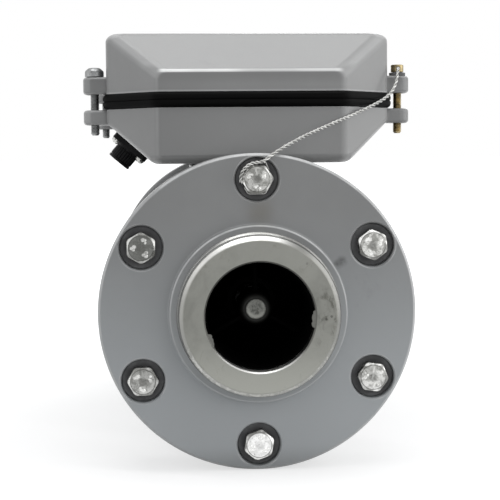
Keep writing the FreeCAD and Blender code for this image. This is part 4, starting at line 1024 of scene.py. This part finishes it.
def make_nozzles():
    outline = soften([(27.8, PIPE_END, 0.3), (37.4, PIPE_END, 0.6), (PIPE_RADIUS, -9.4, 2.6),
                      (PIPE_RADIUS, -1.2, 0.6), (41, -0.02), (PIPE_RADIUS, -0.02), (PIPE_RADIUS, 20),
                      (PIPE_FOOT, 20), (PIPE_FOOT, 24), (29, 24), (29, -5), (27, -5), (27, -11.2, 0.3)])
    shapes = joined([lathe(outline, 256), stake(RIGHT_STAKE, -2.7), stake(LEFT_STAKE, 204.8)])

    def build(end, turn):
        settle(new_piece(f"{end}_pipe_stub", turn(shapes), "nozzle_steel", [f"{end}_nozzle"]), 30)
    at_ends(build)


def hex_bolt(turn, marks_turn):
    """A hex head with a chamfered crown, a dimple and raised marks, on a plain shank; the head faces -Y."""
    head, crown, slope = 5.3, 6.3, math.tan(math.radians(33))
    rings = [[] for _ in range(6)]
    for a in full_turn(96):
        wide = head_radius(a)
        low = head - 0.12 - (wide - crown) * slope
        b = a + math.radians(turn)
        levels = ((1.6, head - 0.30), (2.3, head), (crown - 0.25, head), (crown, head - 0.12), (wide, low),
                  (wide, 0.0))
        for ring, (r, up) in zip(rings, levels):
            ring.append((r * math.cos(b), -up, r * math.sin(b)))
    shapes = [skin(rings, closed=False), rod(4, -1, 25, 32)]
    for k in range(9):
        wide = 0.95 + 0.22 * math.sin(5 * k + turn)
        dome = soften([(0, head - 0.4), (wide, head - 0.4), (wide, head + 0.10, 0.2),
                       (wide * 0.5, head + 0.3, 0.3), (0, head + 0.32)])
        mark = lathe([(r, -up) for r, up in dome], 12)
        angle = marks_turn + 120 * (k // 3) + (-13, 0, 14)[k % 3]
        shapes.append(turned(shifted(mark, 4.0 + 0.7 * math.sin(4 * k + turn)), angle))
    return joined(shapes)


def make_bolts():
    ring = lathe(soften([(4.5, BOLT_SEAT, 0.3), (10.7, BOLT_SEAT, 0.5), (10.7, 11), (4.5, 11)]), 64)
    washers = joined([shifted(ring, x, 0, z) for x, z in BOLT_PLACES])
    bolts = joined([shifted(hex_bolt(turn, marks_turn), x, BOLT_SEAT, z)
                    for turn, marks_turn, (x, z) in zip(BOLT_TURNS, MARK_TURNS, BOLT_PLACES)])

    def build(end, turn):
        settle(new_piece(f"{end}_hex_bolts", turn(bolts), "bolt_zinc", [f"{end}_cover_bolts"], smooth=25), 24)
        new_piece(f"{end}_bolt_washers", turn(washers), "washer_dark", [f"{end}_cover_washers"])
    at_ends(build)


def make_gas_path():
    outer = 29 - GAP
    sleeve = lathe(soften([(26, -5, 0.4), (outer, -5), (outer, 24), (33.9, 24), (33.9, 27), (outer, 27),
                           (outer, 36, 0.6), (26, 36, 0.6)]))
    core = soften([(5.2, 22.5), (6.5, 22.5, 0.5), (9, 25, 1), (9, 44, 1), (6.5, 46.5, 0.5), (5.2, 46.5)])
    vane = prism(soften([(-1.2, 25, 1.0), (1.2, 25, 1.0), (1.2, 36, 1.0), (-1.2, 36, 1.0)]), 7.5, 25.9)
    spider = joined([lathe(core, 64)] + [turned(vane, 120 * k) for k in range(3)])
    nose = lathe(soften([(0, 21.6), (1.8, 21.55), (3.2, 21.3), (4.3, 21.0, 0.4), (5.15, 21.15, 0.15),
                         (5.15, 50, 0.3), (0, 50)]), 64)

    def build(end, turn):
        settle(new_piece(f"{end}_bore_liner", turn(sleeve), "carrier_black", [f"{end}_liner"]))
        settle(new_piece(f"{end}_transducer_carrier", turn(spider), "carrier_black", [f"{end}_carrier"]))
        new_piece(f"{end}_transducer_nose", turn(nose), "transducer_metal", [f"{end}_transducer"])
    at_ends(build)


make_barrel()
make_covers()
make_nozzles()
make_bolts()
make_gas_path()


# Enclosure


def eased(first, second, point, cut, count=1):
    """Narrow faces that round off the edge between two faces, with a cut where the edge passes a point."""
    first, second = Vector(first).normalized(), Vector(second).normalized()
    radius = cut / (1 / math.cos(first.angle(second) / 2) - 1)
    axis = Vector(point) - (first + second) * (radius / (1 + first.dot(second)))
    normals = [first.slerp(second, (k + 1) / (count + 1)) for k in range(count)]
    return [(normal, normal.dot(axis) + radius) for normal in normals]


def side_faces():
    """The enclosure's eight upright faces, with eased edges beside the two ends."""
    faces = []
    for s in (-1, 1):
        faces.append(face_through((s, 0, 0), (s * CASE_X, 0, 0)))
        faces.append(face_through((0, s, 0), (0, MIDDLE + s * CASE_Y, 0)))
        for t in (-1, 1):
            faces.append(face_through((s, t, 0), (s * CASE_X, MIDDLE + t * (CASE_Y - CORNER), 0)))
            edge = (s * (CASE_X - CORNER), MIDDLE + t * CASE_Y, 0)
            faces += eased((0, t, 0), (s, t, 0), edge, cut=0.5)
    return faces


def lid_faces():
    """The lid's sides, its two slopes, their broad soft hips and the top."""
    faces = side_faces() + [face_through((0, 0, 1), (0, 0, LID_TOP))]
    for t in (-1, 1):
        slope = (0, t * (LID_TOP - LID_BAND), SLOPE_RUN)
        faces.append(face_through(slope, (0, MIDDLE + t * CASE_Y, LID_BAND)))
        for s in (-1, 1):
            corner = (s * (CASE_X - CORNER), MIDDLE + t * CASE_Y, LID_BAND)
            faces += eased(slope, (s, t, 0), corner, cut=1.7, count=3)
    return faces


def base_faces():
    """The base's sides, its two slopes and the bottom."""
    slopes = [face_through((s * (BASE_SLOPE - BASE_LOW), 0, -SLOPE_RUN), (s * CASE_X, 0, BASE_SLOPE))
              for s in (-1, 1)]
    return side_faces() + slopes + [face_through((0, 0, -1), (0, 0, BASE_LOW))]


def corners_of(faces):
    """The corners of the convex solid that some faces bound."""
    out = []
    for trio in itertools.combinations(faces, 3):
        across = Matrix([normal for normal, _ in trio])
        if abs(across.determinant()) < 1e-6:
            continue
        point = across.inverted() @ Vector([distance for _, distance in trio])
        if all(normal.dot(point) <= distance + 0.001 for normal, distance in faces):
            out.append(point)
    return out


def soft_block(faces, wide, tall):
    """A convex block with rounded edges: wide across its upright edges, tight on its level ones."""
    def reach(normal):
        return math.sqrt((wide * normal.x) ** 2 + (wide * normal.y) ** 2 + (tall * normal.z) ** 2)

    def touch(normal):
        return Vector((wide ** 2 * normal.x, wide ** 2 * normal.y, tall ** 2 * normal.z)) / reach(normal)

    ball = [touch(normal) for normal, _ in faces]
    for i in range(-8, 9):
        for k in range(64):
            a, b = math.radians(90 * i / 8), math.radians(360 * k / 64)
            ball.append(touch(Vector((math.cos(a) * math.cos(b), math.cos(a) * math.sin(b), math.sin(a)))))
    inner = [(normal, distance - reach(normal)) for normal, distance in faces]
    return hull([corner + offset for corner in corners_of(inner) for offset in ball])


def new_shell(name, faces, tall, beyond, node):
    """Half of the enclosure: a rounded block, cut off where the other half begins, and hollow inside."""
    shell = new_piece(name, soft_block(faces, 6.5, tall), "case_paint", [node])
    carve(shell, box(*beyond))
    carve(shell, hull(corners_of([(normal, distance - WALL) for normal, distance in faces])))
    return shell


def lug(side, y, low, high):
    """An eye beside the enclosure, with its web to the wall."""
    root, r = side * 75, LUG_RADIUS
    outline = [(root, y - r), (side * LUG_X, y - r)]
    for k in range(1, 20):
        a = math.radians(-90 + 180 * k / 20)
        outline.append((side * (LUG_X + r * math.cos(a)), y + r * math.sin(a)))
    outline += [(side * LUG_X, y + r), (root, y + r)]
    return prism(outline, low, high)


def make_lugs(name, low, high):
    shapes = [lug(side, y, low, high) for side in (-1, 1) for y in LUG_ROWS]
    lugs = new_piece(name, joined(shapes), "case_paint")
    carve(lugs, joined([upright(rod(2.7, low - 5, high + 5), x, y) for x, y in LID_SCREWS + (SEAL_SCREW,)]))
    bevel(lugs, 1.8, 4)


# Plates about the window, as (width, depth, corner radius)
RECESS, PANE, OPENING = (76, 46, 3), (75.6, 45.6, 2.8), (68, 38, 2)
BEZEL, GLASS = (66, 36, 1.5), (57, 22, 0.8)
GASKET_LOW, PANE_LOW = 142.5, 143.0


def make_case():
    far = 150
    sky = face_through((0, 0, 1), (0, 0, BASE_TOP + 15))
    above = (-far, -far, BASE_TOP), (far, far * 2, BASE_TOP + 40)
    settle(new_shell("case_base", base_faces() + [sky], 5.0, above, "enclosure_base"), 45)
    ground = face_through((0, 0, -1), (0, 0, LID_LOW - 15))
    below = (-far, -far, LID_LOW - 40), (far, far * 2, LID_LOW)
    lid = new_shell("case_lid", lid_faces() + [ground], 4.6, below, "enclosure_lid")
    carve(lid, plate(0, WINDOW_Y, RECESS, GASKET_LOW, 150))
    carve(lid, plate(0, WINDOW_Y, OPENING, 135, 150))
    carve(lid, upright(rod(6, -10, 10, 64), 0, BUTTON_Y, LID_TOP))
    settle(lid, 45)
    make_lugs("case_base_lugs", LUGS_LOW, BASE_TOP)
    make_lugs("case_lid_lugs", LID_LOW, LUGS_TOP)


def octagon(outset):
    """The enclosure's outline, moved outward by some distance, with rounded corners."""
    x, y, radius = CASE_X + outset, CASE_Y + outset, 8.0 + outset
    cut = CORNER + outset * (2 - math.sqrt(2))
    corners = [(x, cut - y), (x, y - cut), (x - cut, y), (cut - x, y),
               (-x, y - cut), (-x, cut - y), (cut - x, -y), (x - cut, -y)]
    return [(u, MIDDLE + v) for u, v in soften([(*corner, radius) for corner in corners], 6)]


def make_gasket():
    """A soft seal that is squeezed out between the lid and the base."""
    section = [(-4.0, BASE_TOP), (-0.4, BASE_TOP), (0.7, 104.3), (1.6, 105.1), (2.1, 106.5), (2.0, 107.6),
               (1.5, 108.2), (2.0, 108.8), (2.1, 109.9), (1.6, 111.3), (0.7, 112.1), (-0.4, LID_LOW),
               (-4.0, LID_LOW)]
    rows = [[(x, y, z) for x, y in octagon(outset)] for outset, z in section]
    new_piece("case_gasket", skin(list(zip(*rows))), "gasket_rubber", ["enclosure_gasket"], smooth=50)


def threaded(top, seat):
    """The outline of a screw's threaded shank up to the seat of its head, as (radius, station)."""
    low, radius, pitch, depth = 91.0, 2.4, 0.8, 0.35
    out = [(0, 90.3), (1.6, 90.3)]
    for k in range(int((top - low) / pitch)):
        y = low + k * pitch
        out += [(radius - depth, y), (radius, y + pitch * 0.45), (radius, y + pitch * 0.55)]
    return out + [(radius - depth, top), (radius, seat)]


def make_lid_screws():
    head = soften([(5.15, LUGS_TOP, 0.3), (5.15, 125.2, 1.8), (3.0, 127.1, 2.5), (0, 127.1)], 5)
    screw = lathe(threaded(121.0, LUGS_TOP) + head, 40)
    screws = joined([upright(screw, x, y) for x, y in LID_SCREWS])
    piece = new_piece("case_lid_screws", screws, "lid_screw_steel", ["lid_screws"], smooth=40)
    carve(piece, joined([box((x - 7, y - 0.65, 125.5), (x + 7, y + 0.65, 129)) for x, y in LID_SCREWS]))


def make_seal_screw():
    x, y = SEAL_SCREW
    seat, top, hole_z = 123.7, 128.1, 126
    head = soften([(3.5, seat, 0.3), (3.5, top, 0.6), (0, top)])
    shape = upright(lathe(threaded(122.4, seat) + head, 48), x, y)
    screw = new_piece("seal_wire_screw", shape, "seal_brass", ["seal_screw"], smooth=40)
    along_wire = Matrix.Translation((x, y, hole_z)) @ Matrix.Rotation(math.radians(-4), 4, "Z")
    carve(screw, moved(rod(0.85, -6, 6, 24), along_wire))
    carve(screw, box((x - 5, y - 0.5, 127.1), (x + 5, y + 0.5, 130)))
    ring = lathe(soften([(2.7, 0), (4.5, 0, 0.4), (4.5, 1.8, 0.4), (2.7, 1.8)]), 48)
    new_piece("seal_screw_washer", upright(ring, x, y, LUGS_TOP), "washer_dark", ["seal_washer"])


make_case()
make_gasket()
make_lid_screws()
make_seal_screw()


# Window, display and button

BOARD_TOP, SPRING_TOP = 133.0, 139.5
SPRING_RADIUS, SPRING_WIRE, SPRING_TURNS = 5.5, 0.8, 4
BEZEL_TOP = 139.5
GLASS_LOW, GLASS_TOP, DIGITS_TOP = 138.4, 138.9, 139.1
DIGITS = "00000.000"
# The strokes of a nought, as (x, y, width, depth) about its middle
STROKES = ((0, 5.2, 2.8, 1.2), (0, -5.2, 2.8, 1.2), (-1.9, 2.6, 1.2, 4.2), (1.9, 2.6, 1.2, 4.2),
           (-1.9, -2.6, 1.2, 4.2), (1.9, -2.6, 1.2, 4.2))


def make_window():
    pane = plate(0, WINDOW_Y, PANE, PANE_LOW, LID_TOP)
    bevel(new_piece("display_window", pane, "window_clear", ["window_pane"]), 0.5)
    seal = plate(0, WINDOW_Y, PANE, GASKET_LOW, PANE_LOW)
    gasket = new_piece("display_window_gasket", seal, "seal_rubber", ["window_gasket"])
    carve(gasket, plate(0, WINDOW_Y, OPENING, 140, 150))


def make_display():
    block = new_piece("display_bezel", plate(0, WINDOW_Y, BEZEL, BOARD_TOP, BEZEL_TOP), "holder_black",
                      ["display_module"])
    carve(block, plate(0, WINDOW_Y, GLASS, 138.5, 150))
    bevel(block, 0.5)
    new_piece("display_glass", plate(0, WINDOW_Y, GLASS, GLASS_LOW, GLASS_TOP), "display_panel")
    shapes, x = [], -24.0
    for mark in DIGITS:
        if mark == ".":
            shapes.append(box((x - 3.9, WINDOW_Y - 5.8, GLASS_TOP), (x - 2.9, WINDOW_Y - 4.8, DIGITS_TOP)))
            continue
        for u, v, width, depth in STROKES:
            shapes.append(plate(x + u, WINDOW_Y + v, (width, depth, 0.4), GLASS_TOP, DIGITS_TOP))
        x += 6.8
    new_piece("display_digits", joined(shapes), "holder_black")


def make_button():
    outline = soften([(0, 137.7), (2, 137.7, 0.3), (2, SPRING_TOP), (7.9, SPRING_TOP, 0.3), (7.9, 141, 0.3),
                      (5.9, 141), (5.9, 147, 0.8), (4.6, 147, 0.3), (4.2, 146.4, 0.4), (0, 146.2)])
    settle(new_piece("display_push_button", upright(lathe(outline, 64), 0, BUTTON_Y), "button_plastic",
                     ["display_button"], body="button"))


def make_button_spring():
    """A coil between the display board and the button's flange, built at one length."""
    rise = SPRING_TOP - BOARD_TOP - SPRING_WIRE
    steps = SPRING_TURNS * 36
    coil = []
    for step in range(steps + 1):
        turn = math.radians(10 * step)
        z = BOARD_TOP + SPRING_WIRE / 2 + rise * step / steps
        coil.append(Vector((SPRING_RADIUS * math.cos(turn), BUTTON_Y + SPRING_RADIUS * math.sin(turn), z)))
    spring = new_piece("display_button_spring", tube(coil, SPRING_WIRE / 2 - 0.02), "spring_steel",
                       ["button_spring"], smooth=60)
    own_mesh(spring)


make_window()
make_display()
make_button()
make_button_spring()


# Connector, built with its axis along Z and then laid on the left slope

SLOPE_TURN = math.degrees(math.atan2(BASE_SLOPE - BASE_LOW, SLOPE_RUN))
ON_SLOPE = Matrix.Translation((SLOPE_RUN / 2 - CASE_X, 116, (BASE_LOW + BASE_SLOPE) / 2)) \
    @ Matrix.Rotation(math.radians(SLOPE_TURN + 180), 4, "Y")
SOCKET_PLATE = (23, 23, 2.6)
PLATE_SCREWS = [(8.7 * a, 8.7 * b) for a in (-1, 1) for b in (-1, 1)]


def ribbed(radius, depth, count):
    """A round outline with a row of small ribs."""
    out = []
    for k in range(count):
        for part, r in ((0.0, radius - depth), (0.25, radius), (0.55, radius), (0.8, radius - depth)):
            a = 2 * math.pi * (k + part) / count
            out.append((r * math.cos(a), r * math.sin(a)))
    return out


def on_slope(*shapes):
    return moved(joined(shapes), ON_SLOPE)


def make_connector():
    shell = new_piece("connector_housing", on_slope(plate(0, 0, SOCKET_PLATE, 0.8, 3.8)), "connector_black",
                      ["connector_shell"])
    holes = [upright(rod(1.55, -2, 8, 24), x, y) for x, y in PLATE_SCREWS]
    carve(shell, on_slope(*holes))
    collar = soften([(5.7, 4.3), (5.7, 13.3, 0.3), (7.0, 13.3, 0.5), (7.0, 11.9, 0.3), (6.6, 11.7), (6.6, 5.0),
                     (7.0, 4.8), (7.0, 3.5), (6.4, 3.5), (6.4, -8.2), (0, -8.2), (0, 4.3)])
    carve(shell, on_slope(upright(lathe(collar, 64))), "UNION")
    bevel(shell, 0.35)
    grip = prism(ribbed(7.0, 0.35, 26), 5.4, 11.3)
    ring = new_piece("connector_grip_ring", on_slope(grip), "connector_black")
    carve(ring, on_slope(upright(rod(6.55, 0, 20, 64))))
    settle(ring, 30)
    seal = new_piece("connector_seal", on_slope(plate(0, 0, SOCKET_PLATE, 0.0, 0.8)), "seal_rubber",
                     ["connector_gasket"])
    carve(seal, on_slope(*holes, upright(rod(6.6, -5, 5, 48))))
    disc = lathe(soften([(0, 4.3), (5.6, 4.3), (5.6, 7.3, 0.5), (0, 7.3)]), 48)
    new_piece("connector_face", on_slope(upright(disc)), "connector_black", ["connector_insert"])
    pin = lathe(soften([(0, 7.3), (0.7, 7.3), (0.7, 11.3, 0.5), (0, 11.3)]), 20)
    new_piece("connector_pins", on_slope(*(upright(pin, x, y) for x, y in ring_places(5, 3.0))), "pin_gold")
    screw = lathe(soften([(0, -3.2), (1.5, -3.2), (1.5, 3.8), (2.5, 3.8), (2.5, 5.0, 1.0), (1.2, 6.2, 1.2),
                          (0, 6.2)], 5), 32)
    screws = new_piece("connector_plate_screws", on_slope(*(upright(screw, x, y) for x, y in PLATE_SCREWS)),
                       "screw_steel", ["connector_screws"], smooth=40)
    for x, y in PLATE_SCREWS:
        for a, b in ((1.5, 0.3), (0.3, 1.5)):
            carve(screws, on_slope(box((x - a, y - b, 5.3), (x + a, y + b, 8))))


make_connector()
